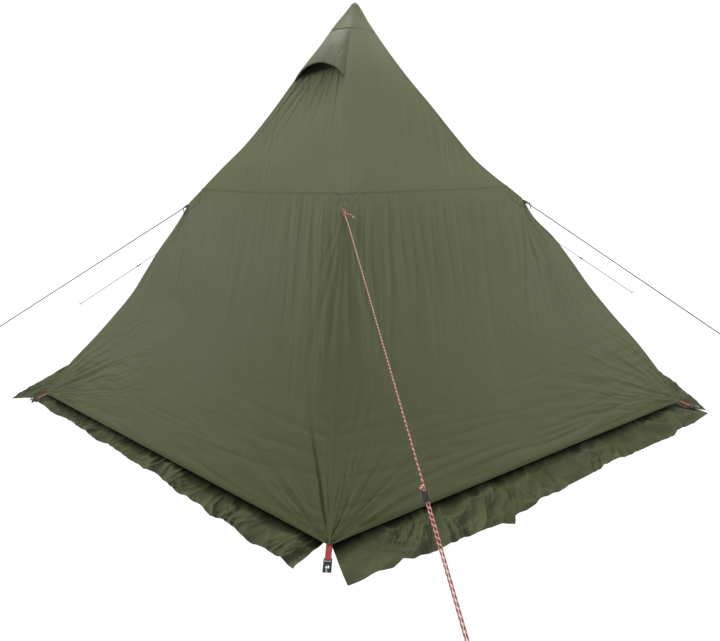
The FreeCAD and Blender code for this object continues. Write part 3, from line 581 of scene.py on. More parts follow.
# ---------------------------------------------------------------- materials
class Shader:
    """A material and short calls for its nodes; each call returns the node's output."""

    def __init__(self, name):
        self.material = bpy.data.materials.new(name)
        self.material.use_nodes = True
        self.nodes = self.material.node_tree.nodes

    def new(self, kind, **settings):
        node = self.nodes.new("ShaderNode" + kind)
        for key, value in settings.items():
            setattr(node, key, value)
        return node

    def put(self, socket, value):
        if isinstance(value, bpy.types.NodeSocket):
            self.material.node_tree.links.new(value, socket)
        else:
            socket.default_value = value

    def calc(self, operation, *values, clamp=False):
        node = self.new("Math", operation=operation, use_clamp=clamp)
        for socket, value in zip(node.inputs, values):
            self.put(socket, value)
        return node.outputs[0]

    def add(self, a, b):
        return self.calc("ADD", a, b)

    def mul(self, a, b):
        return self.calc("MULTIPLY", a, b)

    def less(self, a, b):
        return self.calc("LESS_THAN", a, b)

    def gap(self, a, b):
        return self.calc("ABSOLUTE", self.calc("SUBTRACT", a, b))

    def wave(self, value, pitch):
        return self.calc("SINE", self.mul(value, 2 * math.pi / pitch))

    def attr(self, name):
        return self.new("Attribute", attribute_name=name).outputs["Fac"]

    def position(self):
        return self.new("TexCoord").outputs["Object"]

    def combine(self, x, y, z=0.0):
        node = self.new("CombineXYZ")
        for socket, value in zip(node.inputs, (x, y, z)):
            self.put(socket, value)
        return node.outputs[0]

    def noise(self, vector, scale, detail, roughness=0.5):
        node = self.new("TexNoise")
        self.put(node.inputs["Vector"], vector)
        node.inputs["Scale"].default_value = scale
        node.inputs["Detail"].default_value = detail
        node.inputs["Roughness"].default_value = roughness
        return node.outputs["Fac"]

    def ramp(self, factor, stops):
        node = self.new("ValToRGB")
        self.put(node.inputs[0], factor)
        elements = node.color_ramp.elements
        while len(elements) > 1:
            elements.remove(elements[-1])
        elements[0].position = stops[0][0]
        elements[0].color = (*stops[0][1], 1)
        for position, colour in stops[1:]:
            elements.new(position).color = (*colour, 1)
        return node.outputs[0]

    def mix(self, factor, a, b, mode="MIX"):
        node = self.new("Mix", data_type="RGBA", blend_type=mode)
        self.put(node.inputs[0], factor)
        for socket, value in ((node.inputs[6], a), (node.inputs[7], b)):
            self.put(socket, (*value, 1) if isinstance(value, tuple) else value)
        return node.outputs[2]

    def bump(self, height, strength, distance, normal=None):
        node = self.new("Bump")
        node.inputs["Strength"].default_value = strength
        node.inputs["Distance"].default_value = distance
        self.put(node.inputs["Height"], height)
        if normal is not None:
            self.put(node.inputs["Normal"], normal)
        return node.outputs[0]

    def finish(self, **inputs):
        for key, value in inputs.items():
            self.put(self.nodes["Principled BSDF"].inputs[key.replace("_", " ")], value)
        return self.material


def linear(rgb, gain=1.0):
    """An sRGB colour of 0 to 255 as linear values."""
    shares = [c / 255 for c in rgb]
    return tuple((c / 12.92 if c <= 0.04045 else ((c + 0.055) / 1.055) ** 2.4) * gain
                 for c in shares)


def times(colour, factor):
    return tuple(min(1, c * factor) for c in colour)


def stitches(s, across, at, along):
    """A dashed line where across is at, its dashes counted along."""
    line = s.less(s.gap(across, at), 0.0011)                       # half the thread's width
    dash = s.calc("GREATER_THAN", s.calc("FRACT", s.calc("DIVIDE", along, 0.0048)), 0.30)
    return s.mul(line, dash)


def seam_colours(s, base, fx, fy, mid):
    """Stitch rows beside ridges, hem and horizontal seam, and the darker doubled cloth."""
    edge = s.calc("SUBTRACT", CORNER_R / 2, s.mul(fy, CORNER_R / 2 / SLOPE))
    edge = s.calc("SUBTRACT", edge, fx)
    rows = None
    for at in (0.0035, 0.0105):
        row = s.mul(stitches(s, edge, at, fy), 0.4)
        rows = row if rows is None else s.calc("MAXIMUM", rows, row)
    for at in (SEAM_Y - 0.0025, SEAM_Y - 0.0095, 0.021):
        rows = s.calc("MAXIMUM", rows, stitches(s, fy, at, fx))
    base = s.mix(s.mul(rows, 0.55), base, times(mid, 0.45))
    seam = s.less(s.gap(fy, SEAM_Y - 0.006), 0.0065)
    ridge = s.less(edge, 0.013)
    doubled = s.calc("MAXIMUM", seam, s.mul(ridge, 0.35))
    return s.mix(s.mul(doubled, 0.16), base, times(mid, 0.55))


# cloth colour low, halfway and high on the tent; the paler tones higher up are painted light, as if
# the top caught more light
CLOTH_TONES_TOP_LIT = ((77, 81, 53), (87, 91, 64), (114, 118, 94))


def cloth_material(name, tones=CLOTH_TONES_TOP_LIT, gain=1.0, seams=False, crinkle=0.35, rough=0.62,
                   shaded=False, spec=0.16):
    s = Shader(name)
    position = s.position()
    fx, fy, height = s.attr("fx"), s.attr("fy"), s.attr("hgt")
    low, mid, high = (linear(tone, gain) for tone in tones)
    upper = linear([0.6 * a + 0.4 * b for a, b in zip(tones[1], tones[2])], gain)
    # painted light: the colour ramps from the low tone to the high one with height
    base = s.ramp(s.calc("DIVIDE", height, APEX_Z),
                  [(0.0, low), (0.16, low), (0.50, mid), (0.80, upper), (0.92, high), (1.0, high)])
    cloud = s.noise(position, scale=2.2, detail=3.0)
    clouded = s.mul(s.calc("SUBTRACT", cloud, 0.40, clamp=True), 0.55)
    base = s.mix(clouded, base, times(mid, 0.80))
    # single yarns a little lighter or darker, drawn out along the cloth
    yarns_per_m, slubs_per_m = 420.0, 9.0
    warp = s.noise(s.combine(s.mul(fx, yarns_per_m), s.mul(fy, slubs_per_m)), 1.0, detail=2.0)
    weft = s.noise(s.combine(s.mul(fx, slubs_per_m), s.mul(fy, yarns_per_m)), 1.0, detail=2.0)
    slub = s.mul(s.add(warp, weft), 0.5)
    slub = s.mul(s.calc("SUBTRACT", slub, 0.42, clamp=True), 0.9)
    base = s.mix(slub, base, times(mid, 1.35))
    weave = s.mul(s.wave(fx, pitch=0.0011), s.wave(fy, pitch=0.0011))
    ridged = s.gap(s.noise(position, scale=26.0, detail=4.0, roughness=0.55), 0.5)
    normal = s.bump(ridged, strength=crinkle, distance=0.004)
    normal = s.bump(weave, strength=0.10, distance=0.0002, normal=normal)
    if seams:
        base = seam_colours(s, base, fx, fy, mid)
    if shaded:
        shade = s.attr("shade")
        base = s.mix(1.0, base, s.combine(shade, shade, shade), "MULTIPLY")
    roughness = s.add(s.mul(cloud, 0.14), rough - 0.07)
    return s.finish(Base_Color=base, Roughness=roughness, Normal=normal, Sheen_Weight=0.04,
                    Sheen_Roughness=0.4, Sheen_Tint=(0.75, 0.8, 0.55, 1.0),
                    Specular_IOR_Level=spec)


def webbing_material(name, rgb):
    s = Shader(name)
    pu, pv = s.attr("pu"), s.attr("pv")
    position = s.position()
    colour = linear(rgb)
    rib = s.wave(pv, pitch=0.0021)
    # picks 2.4 mm apart, bent by the ribs
    pick = s.calc("SINE", s.add(s.mul(pu, 2 * math.pi / 0.0024), s.mul(rib, 1.4)))
    cloud = s.noise(position, scale=60.0, detail=3.0)
    base = s.mix(s.mul(s.add(pick, 1.0), 0.28), colour, times(colour, 0.55))
    base = s.mix(s.mul(cloud, 0.35), base, times(colour, 1.3))
    normal = s.bump(s.add(rib, pick), strength=0.6, distance=0.0004)
    return s.finish(Base_Color=base, Roughness=0.72, Normal=normal, Sheen_Weight=0.25)


def cord_material(name, dark, light, speck):
    s = Shader(name)
    pu, pv = s.attr("pu"), s.attr("pv")
    # flecks every 15.5 mm and strands every 2.2 mm, both winding round the cord
    winding = s.add(s.mul(pu, 1 / 0.0155), s.mul(pv, 1.0))
    strands = s.calc("SUBTRACT", s.mul(pu, 1 / 0.0022), s.mul(pv, 4.0))
    winding = s.gap(s.calc("FRACT", winding), 0.5)
    strands = s.gap(s.calc("FRACT", strands), 0.5)
    fleck = s.less(winding, 0.17)
    tint = s.noise(s.combine(s.mul(pu, 900.0), s.mul(pv, 8.0)), scale=1.0, detail=2.0)
    base = s.mix(fleck, s.mix(tint, linear(dark), linear(light)), linear(speck))
    height = s.add(s.mul(winding, 0.5), strands)
    normal = s.bump(height, strength=0.8, distance=0.0008)
    return s.finish(Base_Color=base, Roughness=0.68, Normal=normal, Sheen_Weight=0.2)


def plastic_material(name, rgb, rough=0.42):
    s = Shader(name)
    position = s.position()
    grain = s.noise(position, scale=900.0, detail=2.0)
    cloud = s.noise(position, scale=35.0, detail=2.0)
    base = s.mix(cloud, linear(rgb), linear([c * 1.35 + 4 for c in rgb]))
    return s.finish(Base_Color=base, Roughness=s.add(s.mul(cloud, 0.15), rough),
                    Normal=s.bump(grain, strength=0.35, distance=0.0004),
                    Specular_IOR_Level=0.45)


def steel_material(name, rgb, rough, metallic=1.0):
    s = Shader(name)
    position = s.position()
    stretch = s.new("Mapping")
    s.put(stretch.inputs["Vector"], position)
    stretch.inputs["Scale"].default_value = (300, 300, 9)          # streaks run along Z
    streak = s.noise(stretch.outputs[0], scale=1.0, detail=3.0)
    blotch = s.noise(position, scale=14.0, detail=4.0)
    base = s.mix(blotch, linear(rgb), linear([c * 1.12 for c in rgb]))
    base = s.mix(s.mul(streak, 0.25), base, linear([c * 0.75 for c in rgb]))
    return s.finish(Base_Color=base, Metallic=metallic,
                    Roughness=s.add(s.mul(streak, 0.22), rough - 0.1),
                    Normal=s.bump(streak, strength=0.15, distance=0.0003))


def net_material(name):
    s = Shader(name)
    mesh_pitch = 0.0026
    fx, fy = s.attr("fx"), s.attr("fy")
    cells = [s.gap(s.calc("FRACT", s.calc("DIVIDE", value, mesh_pitch)), 0.5)
             for value in (fx, fy)]
    thread = s.calc("GREATER_THAN", s.calc("MAXIMUM", *cells), 0.38)
    # painted shade: the cells between the threads are near black, for the dark inside seen through
    # them
    base = s.mix(thread, linear((12, 13, 10)), linear((44, 47, 36)))
    return s.finish(Base_Color=base, Roughness=0.85,
                    Normal=s.bump(thread, strength=0.6, distance=0.0006))


CLOTH = cloth_material("canopy_cloth", seams=True)
CANOPY = cloth_material("canopy_sheet_cloth", seams=True, shaded=True)
# the hood is the canopy's cloth painted a fifth darker, as painted shade
HOOD = cloth_material("hood_cloth", gain=0.80)
CAP = cloth_material("cap_cloth", gain=0.97)
SKIRT = cloth_material("skirt_cloth", tones=((70, 74, 50),) * 3, crinkle=0.8, rough=0.60,
                       shaded=True, spec=0.09)
TAPE = cloth_material("hem_tape", gain=0.86, crinkle=0.2, rough=0.7)
WEBBING = webbing_material("webbing", (158, 38, 44))
LOOP = webbing_material("loop_webbing", (112, 42, 40))
CORD_FRONT = cord_material("guy_cord", dark=(126, 28, 33), light=(170, 50, 50),
                           speck=(222, 196, 184))
CORD_DARK = cord_material("guy_cord_dark", dark=(62, 34, 34), light=(88, 58, 56),
                          speck=(120, 108, 102))
BUCKLE = plastic_material("buckle_plastic", (22, 22, 24))
RUNNER = plastic_material("runner_plastic", (30, 26, 28))
RUBBER = plastic_material("pole_rubber", (20, 20, 21), rough=0.7)
POLE = steel_material("pole_steel", (92, 94, 97), rough=0.40, metallic=0.6)
WIRE = steel_material("vent_wire", (58, 61, 46), rough=0.5, metallic=0.2)
ZIP_METAL = steel_material("zip_metal", (62, 62, 58), rough=0.38, metallic=0.8)
PEG = steel_material("peg_steel", (176, 178, 181), rough=0.30)
NET = net_material("vent_mesh")
ZIP = webbing_material("zip_tape", (52, 56, 42))

# materials of the frame's own pieces, by how their names start or read in full ($)
FRAME_MATERIALS = {
    "corner_peg|guy_peg": PEG, "line_runner": RUNNER, "(corner_buckles|pole_tip)$": BUCKLE,
    "pole_foot$": RUBBER, "pole_section": POLE, "(zip_slider|zip_pull)$": ZIP_METAL,
    "guy_loops$": LOOP,
}
for name, ob in frame["nodes"].items():
    for pattern, material in FRAME_MATERIALS.items():
        if not re.match(pattern, name):
            continue
        slots = ob.data.materials
        if slots:
            for n in range(len(slots)):
                slots[n] = material
        else:
            slots.append(material)

# ---------------------------------------------------------------- canopy: one sheet, six faces
# the first columns' distances from a ridge; they close up where the face is narrow
EDGE_STEPS = np.array([0.0, 0.003, 0.0065, 0.010, 0.0135, 0.019])
NARROW = 0.14


def face_columns(i, y):
    """x of the columns of face i at heights y, from its left ridge to just short of its right."""
    half = half_width(y)[:, None]
    near = EDGE_STEPS * np.minimum(1.0, half / NARROW)
    count = int((300 if i in FRONT_SIDE else 132) * FINE)
    inner = half - near[:, -1:]
    if i == DOOR:
        # columns follow both sides of the door
        jamb = np.minimum((door_half(y) + 0.006)[:, None], inner * 0.8)
        top_inner = half_width(DOOR_HIGH) - EDGE_STEPS[-1]
        above = (DOOR_HALF_HIGH + 0.006) * np.minimum(1, inner / top_inner)
        jamb = np.where((y < DOOR_HIGH + 0.0075)[:, None], jamb, above)
        side = count // 3
        outer = (inner - jamb) * np.linspace(0, 1, side + 1)[1:]
        door = jamb * np.linspace(-1, 1, count - 2 * side + 1)[1:]
        middle = np.concatenate([-inner + outer, door, jamb + outer], 1)[:, :-1]
    else:
        t = np.linspace(-1, 1, count + 1)[1:-1]
        # closer together towards the front ridge
        middle = inner * (t + 0.22 * FRONT_SIDE.get(i, 0.0) * (1 - t * t))
    return np.concatenate([near - half, middle, (half - near)[:, :0:-1]], 1)


def canopy_rows():
    """y of the rows and how far each lies off the cloth, from under the cap to the hem's turn."""
    step = 0.0019 / FINE
    down = np.concatenate([np.arange(0.060, 0.86, step), np.arange(0.86, 1.0, step * 0.62)])
    # rows that must be there: the openings, the cap's edge, the seam, the door's top, the hem
    fixed = [0.060, OPEN_TOP, OPEN_FOOT, VENT_DOWN, CAP_DOWN - 0.0026, CAP_DOWN - 0.0012,
             1 - (DOOR_HIGH + 0.0065) / SLOPE, 1.0, 1 - 0.0235 / SLOPE, 1 - 0.0205 / SLOPE]
    fixed += [SEAM_DOWN + mm * 0.001 / SLOPE
              for mm in (-3.0, -0.6, 0.0, 0.9, 3.5, 6.5, 9.5, 11.5, 12.4, 15.0)]
    fixed = np.array(fixed)
    clear = np.abs(down[:, None] - fixed).min(1) > 0.0009
    down = np.unique(np.concatenate([down[clear], fixed]))
    y = SLOPE * (1 - down)
    below = SEAM_Y - y
    off = (0.0016 * ((below > -0.0003) & (below < 0.0118)) + 0.0012 * (y < 0.022)
           - 0.0025 * (down < CAP_DOWN - 0.0020))
    # the hem turns under and back up inside
    return (np.concatenate([y, [-0.0012, 0.0, 0.004, 0.018]]),
            np.concatenate([off, [-0.0016, -0.0040, -0.0052, -0.0052]]))


def hood_shadow(i, x, y):
    """Brightness of the canopy: the strip just under each hood's edge is dark."""
    if i not in VENT_FACES:
        return np.ones_like(x)
    u = x / np.maximum(half_width(y), 1e-4)
    rise = VENT_Y + 0.078 * np.clip(1 - (u + 0.12) ** 2, 0, 1) - y
    return 1 - ((0.62 - 0.30 * u) * np.exp(-np.clip(rise + 0.010, 0, None) / 0.038)
                * smooth(-0.30, -0.01, rise) * (1 - smooth(0.90, 0.99, np.abs(u))))


def openings(x, face_of, rows):
    """Which quads of the canopy grid fall in the door or a vent."""
    after = np.where(np.roll(face_of, -1) == face_of, np.roll(x, -1, axis=1),
                     half_width(rows)[:, None])
    from_middle = np.abs(x[:-1] + after[:-1]) / 2
    y = ((rows[:-1] + rows[1:]) / 2)[:, None]
    half, down = half_width(y), 1 - y / SLOPE
    door = (face_of == DOOR) & (from_middle < door_half(y) + 0.005) & (y < DOOR_HIGH + 0.0064)
    inner = half - EDGE_STEPS[-1] * np.minimum(1, half / NARROW)
    vent = np.isin(face_of, list(VENT_FACES)) & (from_middle < inner)
    return door | (vent & (down > OPEN_TOP) & (down < OPEN_FOOT))


def make_canopy():
    rows, off = canopy_rows()
    off = off[:, None]
    ridge_y = rows[:, None]
    ridge_x = half_width(ridge_y)
    points, columns, shades = [], [], []
    for i in range(6):
        x = face_columns(i, rows)
        y = np.repeat(ridge_y, x.shape[1], 1)
        edge = np.maximum(half_width(y) - np.abs(x), 0)
        at_front = FRONT_SIDE.get(i, 0.0) * x > 0
        band = (0.0009 * (1 - smooth(0.010, 0.0135, edge)) * (0.3 + 0.7 * (x > 0))
                * np.where(at_front, 0.25, 1.0))
        cloth = place(i, x, y, off + band, relief(i, x, np.maximum(y, 0.0)))
        # a face's first column lies midway between where it and its neighbour put the ridge
        left = (i - 1) % 6
        other = place(left, ridge_x, ridge_y, off + (0.0009 if i else 0.0004),
                      relief(left, ridge_x, np.maximum(ridge_y, 0)))
        cloth[:, :1] = (cloth[:, :1] + other) / 2
        points.append(cloth)
        columns.append(x)
        shades.append(hood_shadow(i, x, y))
    face_of = np.repeat(np.arange(6), [x.shape[1] for x in columns])
    points, x = np.concatenate(points, 1), np.concatenate(columns, 1)
    quads = grid_faces(*x.shape, wrap=True, flip=True)
    canopy = build("canopy_cloth_sheet", points, quads[~openings(x, face_of, rows).ravel()], {
        "fx": np.abs(x), "fy": np.repeat(ridge_y, x.shape[1], 1), "hgt": points[..., 2],
        "shade": np.clip(np.concatenate(shades, 1), 0.1, 1)})
    panels = [n for n in frame["nodes"] if n.startswith(("lower_panel_", "upper_panel_"))]
    fit(canopy, CANOPY, "canopy", "canopy_cloth", *panels)


make_canopy()

# ---------------------------------------------------------------- apex cap
CAP_ROWS = np.concatenate([np.linspace(0.0, 0.012, 7)[:-1], np.linspace(0.012, CAP_DOWN, 34)])
CAP_COLS = np.linspace(-1, 1, 41)[:-1]     # across one face


def cap_points(off):
    y = np.repeat(SLOPE * (1 - CAP_ROWS)[:, None], len(CAP_COLS), 1)
    points = np.concatenate([place(i, CAP_COLS * half_width(y), y, off) for i in range(6)], 1)
    down = CAP_ROWS[:, None]
    # blunt the tip
    points[..., 2] -= (HEIGHT * (np.sqrt(down ** 2 + 0.0032 ** 2) - down)
                       - 0.0025 * (1 - smooth(0.02, 0.06, down)))
    # a six-sided point softens to a round one, with gathered cloth just under the tip
    angle = np.arctan2(points[..., 1], points[..., 0])
    radius = np.hypot(points[..., 0], points[..., 1])
    mean = radius.mean(1, keepdims=True)
    rounder = 1 - smooth(0.0, 0.05, down)
    radius = radius * (1 - rounder) + mean * rounder
    radius = radius + 0.0065 * (1 - np.exp(-down / 0.0030)) * np.exp(-((down / 0.030) ** 2))
    radius = radius + (0.0014 * fold(angle / 0.21, 3.0, 401) * smooth(0.004, 0.014, down)
                       * (1 - smooth(0.035, 0.065, down)))
    points[..., 0] = radius * np.cos(angle)
    points[..., 1] = radius * np.sin(angle)
    return points


def make_cap():
    outer, inner = cap_points(0.0014), cap_points(0.0005)
    rows, cols = outer.shape[:2]
    size = rows * cols
    top = grid_faces(rows, cols, wrap=True, flip=True)[cols:]
    last = np.arange(cols) + size - cols
    after = np.roll(last, -1)
    rim = np.stack([last, after, after + size, last + size], 1)[:, ::-1]
    verts = np.concatenate([outer.reshape(-1, 3), inner.reshape(-1, 3)])
    y = SLOPE * (1 - CAP_ROWS)
    cap = build("apex_cap_cloth", verts, np.concatenate([top, top[:, ::-1] + size, rim]), {
        "fx": twice([np.tile(np.abs(CAP_COLS), 6) * half_width(y)[:, None]]),
        "fy": twice([np.repeat(y, cols)]), "hgt": verts[:, 2]})
    tidy(cap, close=True)
    fit(cap, CAP, "canopy", "canopy_cloth", "apex_cap")


make_cap()

# ---------------------------------------------------------------- vents
ARCH_RISE, ARCH_LEAN = 0.0875, math.radians(60.7)   # the open edge arches and leans up the slope
BINDING_R = 0.0042


def hood_top(i):
    """Points of a hood's upper side with their x and y, from its sewn edge to its open one."""
    t = np.linspace(0, 1, 60)[:, None]
    u = np.linspace(-1, 1, 121)
    half = half_width(VENT_Y) - 0.007
    radius = (half ** 2 + ARCH_RISE ** 2) / (2 * ARCH_RISE)
    skew = u + 0.16 * (1 - u ** 2) if i == 5 else u
    arch = np.sqrt(radius ** 2 - (half * skew) ** 2) - (radius - ARCH_RISE)
    top_y = SLOPE * (1 - HOOD_DOWN)
    start_y = top_y + 0.004
    y = start_y * (1 - t) + (VENT_Y + arch * math.sin(ARCH_LEAN)) * t
    x = (half_width(start_y) - 0.004) * u * (1 - t) + half * u * t
    start_z = 0.0030 + 0.006 * (1 - u ** 2)
    end_z = 0.0030 + arch * math.cos(ARCH_LEAN)
    z = start_z * (1 - t) + end_z * t + 0.007 * np.sin(np.pi * t) * (1 - u ** 2)
    z = z - 0.0052 * smooth(0.955, 1.0, np.abs(u)) * (1 - t ** 8)  # sewn down along both ridges
    soft = (0.0011 * fold(x / 0.075, (top_y - y) / 0.5, 201 + i) * np.sin(np.pi * t * 0.8)
            + 0.0018 * perlin(x / 0.05, y / 0.07, 205 + i) * t)
    soft = soft * (1 - np.abs(u) ** 6)
    down, half = 1 - y / SLOPE, half_width(y)
    share = 0.5 + 0.5 * np.clip(x / half, -1, 1)
    stand = (RIDGE[i](down) * (1 - share) + RIDGE[(i + 1) % 6](down) * share
             - rounding(i, x, half, down))
    return place(i, x, y, z + soft + 0.0006, stand), x, y


def make_hood(i, side):
    """The hood over a vent; returns the line its wire follows."""
    face = FACES[i]
    top, x, y = hood_top(i)
    edge = top[-1]
    run = unit(np.gradient(edge, axis=0))
    ahead = top[-1] - top[-3]
    normal = unit(np.cross(run, ahead))
    if (normal @ face.out).mean() < 0:
        normal = -normal
    forward = np.cross(normal, run)
    forward[(forward * ahead).sum(1) < 0] *= -1
    # binding: the cloth turns round the wire and back under
    turns = np.linspace(0.2, 1.0, 9) * math.pi * 1.15
    rows = [edge - normal * BINDING_R * (1 - math.cos(a)) + forward * BINDING_R * math.sin(a)
            for a in turns]
    rows.append(edge - normal * BINDING_R * 1.9 - forward * 0.012)
    row_y = np.array([VENT_Y - 0.004] * len(turns) + [VENT_Y + 0.016])
    points = np.concatenate([top, rows])
    y = np.concatenate([y, np.repeat(row_y[:, None], x.shape[1], 1)])
    x = np.concatenate([x, np.repeat(x[-1:], len(rows), 0)])
    hood = build("vent_hood_cloth_" + side, points, grid_faces(*x.shape, flip=True),
                 {"fx": np.abs(x), "fy": y, "hgt": points[..., 2]})
    fit(hood, HOOD, None, "canopy_cloth", "vent_hood_" + side)
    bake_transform(hood)
    return edge - normal * BINDING_R


def make_wire(path, side):
    parts = Parts()
    parts.tube(path[4:-4], radius=0.0022)
    hoop = "vent_hoop_" + side
    fit(parts.make("vent_wire_" + side), WIRE, hoop, "vent_wire", hoop)


def make_net(i, side):
    """Netting sunk behind the vent's opening."""
    t = np.linspace(0, 1, 30)[:, None]
    u = np.linspace(-1, 1, 49)
    y = np.repeat(SLOPE * (1 - NET_TOP - (NET_FOOT - NET_TOP) * t), len(u), 1)
    off = -0.004 - 0.020 * (1 - u ** 2) * np.sin(np.pi * t)
    net = sheet("vent_net_" + side, [layer(i, (half_width(y) - 0.012) * u, y, off, off - 0.0007)])
    fit(net, NET, "canopy", "vent_mesh", "vent_mesh_" + side)


for i, side in VENT_FACES.items():
    make_wire(make_hood(i, side), side)
    make_net(i, side)


# ---------------------------------------------------------------- hem tape
def hem_layers():
    """Tape round the hem, left open across the door."""
    heights = np.array([0.021, 0.0195, 0.010, 0.0045, 0.003])[:, None]
    bulge = np.array([0.0014, 0.0024, 0.0027, 0.0024, 0.0015])[:, None]
    for i in range(6):
        if i != DOOR:
            u = np.linspace(-1, 1, 150)
            y = np.repeat(heights, len(u), 1)
            yield layer(i, (half_width(y) - 0.006) * u, y, bulge, 0.0011)
            continue
        for side, clearance in ((-1, 0.010), (1, 0.026)):
            u = np.linspace(0, 1, 46)[::side]
            y = np.repeat(heights, len(u), 1)
            inner = door_half(y) + clearance
            x = side * (inner + (half_width(y) - 0.006 - inner) * u)
            yield layer(i, x, y, bulge, 0.0011)


fit(sheet("hem_tape_strip", hem_layers()), TAPE, "canopy", "hem_tape", "hem_webbing")

# ---------------------------------------------------------------- snow skirt
# for each face's strip: how far past square its left and right ends reach, at the outer edge
# and near the hem, and (place along, distance out) of the outer edge
Strip = namedtuple("Strip", "ends hem_ends outline")
PLAIN_STRIP = Strip((.060, .060), (0.0, 0.0), [(-1.06, .150), (1.06, .150)])
STRIPS = {
    0: Strip((.022, .085), (.006, .040), [
        (-1.06, .138), (-.974, .146), (-.88, .152), (-.833, .138), (-.80, .158), (-.74, .164),
        (-.65, .166), (-.52, .176), (-.43, .184), (-.388, .204), (-.352, .178), (-.24, .172),
        (-.20, .158), (-.117, .162), (.05, .150), (.185, .150), (.22, .138), (.40, .146),
        (.56, .144), (.72, .150), (.78, .134), (.90, .138), (1.06, .112)]),
    5: Strip((.110, -.045), (.040, -.020), [
        (-1.06, .058), (-.92, .056), (-.80, .062), (-.70, .052), (-.466, .063), (-.36, .072),
        (-.28, .060), (-.088, .068), (.06, .078), (.15, .070), (.219, .080), (.34, .092),
        (.473, .090), (.56, .112), (.62, .098), (.688, .104), (.80, .118), (.885, .110),
        (1.06, .112)]),
    4: Strip((.060, .020), (0.0, 0.0), [
        (-1.06, .150), (0, .165), (.3, .190), (.5, .198), (.7, .212), (.9, .226),
        (1.06, .236)]),
    1: Strip((.056, .060), (0.0, 0.0), [
        (-1.06, .125), (-.6, .155), (.5, .150), (1.06, .150)]),
}
# section from under the hem outwards: share of the strip, distance out, height; past the
# bend the strip runs straight to its outer edge
SECTION_T = [0, .07, .15, .26, 1.0]
SECTION_OUT = [-.135, -.128, -.112, -.080, 0]
SECTION_Z = [.060, .034, .014, .005, .004]
BEND_T, BEND_OUT = SECTION_T[3], SECTION_OUT[3]


def skirt_strip(i):
    """Points of face i's strip, then its place along, distance out and painted light and shade."""
    turn = math.radians(-60 + 60 * i)
    outward = np.array([math.cos(turn), math.sin(turn), 0])
    sideways = np.array([-math.sin(turn), math.cos(turn), 0])
    q = np.linspace(0, 1, int(84 * (1.0)))[:, None]
    t = np.linspace(-1, 1, int((640 if i in FRONT_SIDE else 320) * FINE))[None, :]
    strip = STRIPS.get(i, PLAIN_STRIP)
    along = t * 1.034
    reach = np.interp(along, *zip(*strip.outline))
    # the right part of face 0's edge lies straighter
    even = 1 - 0.65 * smooth(-0.30, -0.15, along) if i == 0 else 1.0
    reach = reach + even * (0.006 * perlin(along / 0.11 + 7 * i, 0.5, 300 + i)
                            + 0.003 * perlin(along / 0.035 + 3 * i, 1.5, 301 + i))
    straight = BEND_OUT + (reach - BEND_OUT) * np.clip((q - BEND_T) / (1 - BEND_T), 0, 1)
    out = np.where(q > BEND_T, straight, np.interp(q, SECTION_T, SECTION_OUT))
    z = np.interp(q, SECTION_T, SECTION_Z)
    outer = smooth(0.40, 1.0, q)
    near_hem = smooth(0.10, 0.30, q) * (1 - outer)
    flare = (np.where(t < 0, *strip.ends) * outer
             + np.where(t < 0, *strip.hem_ends) * near_hem) * np.abs(t) ** 5
    length = along + np.sign(t) * flare
    free = smooth(-.085, -.03, out)

    # crumpled cloth: creases of several sizes that run aslant and break up
    warp_x = along + 0.030 * perlin(along / 0.13 + i, out / 0.10, 371 + i)
    warp_y = out + 0.030 * perlin(along / 0.11, out / 0.10 + i, 372 + i)
    slant = 0.9 * perlin(along / 0.55 + 2 * i, 0.3, 373 + i)
    u, v = warp_x + slant * warp_y, warp_y - slant * 0.6 * warp_x
    large = np.abs(perlin(u / 0.120 + 9 * i, v / 0.170, 310 + i))
    medium = np.abs(perlin(u / 0.060 + 3 * i, v / 0.085 + 2.0, 320 + i))
    small = np.abs(perlin((u + 0.6 * v) / 0.030, v / 0.036 + 5 * i, 330 + i))
    finest = np.abs(perlin((u - 0.5 * v) / 0.016, v / 0.022 + 5 * i, 335 + i))
    swell = 0.30 + np.clip(perlin(along / 0.30, out / 0.30, 340 + i) * 1.7 + 0.40, 0, 1.2)
    some = np.clip(perlin(along / 0.16 + 4 * i, out / 0.12, 344 + i) * 2.2 + 0.45, 0.08, 1.0)
    lumps = swell * (0.034 * np.clip(0.42 - large, 0, 1) + 0.020 * np.clip(0.42 - medium, 0, 1)
                     + some * (0.0112 * np.clip(0.4 - small, 0, 1) + 0.0032 * (0.4 - finest)))
    z = z + free * lumps

    # painted light and shade: facets turned to the light are paler, the others darker, crests get a
    # painted highlight, and the strip under the hem gets a painted shadow; patchy is tone that
    # varies at random
    rise_q, rise_t = np.gradient(lumps)
    step_q = np.abs(np.gradient(out, axis=0)) + 1e-4
    step_t = np.abs(np.gradient(along, axis=1)) + 1e-4
    light = np.array([-0.80, 0.45, 0])
    facing = -(rise_t / step_t * (sideways @ light) + rise_q / step_q * (outward @ light))
    crest_highlight = np.exp(-(large / 0.020) ** 2) + 0.8 * np.exp(-(medium / 0.030) ** 2)
    patchy = 0.93 + 0.30 * perlin(along / 0.09 + 5 * i, out / 0.07, 390 + i)
    hem_shadow = smooth(-0.018, 0.024, out + 0.006 * perlin(along / 0.05, 3.3, 380 + i))
    shade = np.clip((patchy + np.clip(0.90 * facing, -0.45, 0.52) + 0.16 * crest_highlight)
                    * (0.20 + 0.80 * hem_shadow), 0.10, 1.5)

    # lower along the outer edge, and at the ends, where the corner webbing crosses
    z = z * (1 - 0.40 * smooth(0.93, 1.0, q) * (0.3 + 0.7 * swell)) + 0.002
    near_end = smooth(0.93, 1.0, np.abs(t))
    z = z * (1 - 0.55 * near_end * free)
    out = out + free * even * 0.006 * perlin(along / 0.07, out / 0.07, 350 + i)
    length = length + (free * 0.006 * perlin(along / 0.06 + 2.2, out / 0.06, 352 + i)
                       * (1 - near_end))
    # under the hem the cloth hangs in small pleats
    out = out + (1 - free) * 0.006 * fold(along / 0.05, q * 0.5, 360 + i)
    points = (outward * (APOTHEM + out)[..., None] + sideways * length[..., None]
              + np.array([0, 0, 1.0]) * z[..., None])
    return points, along + 0 * q, out, shade


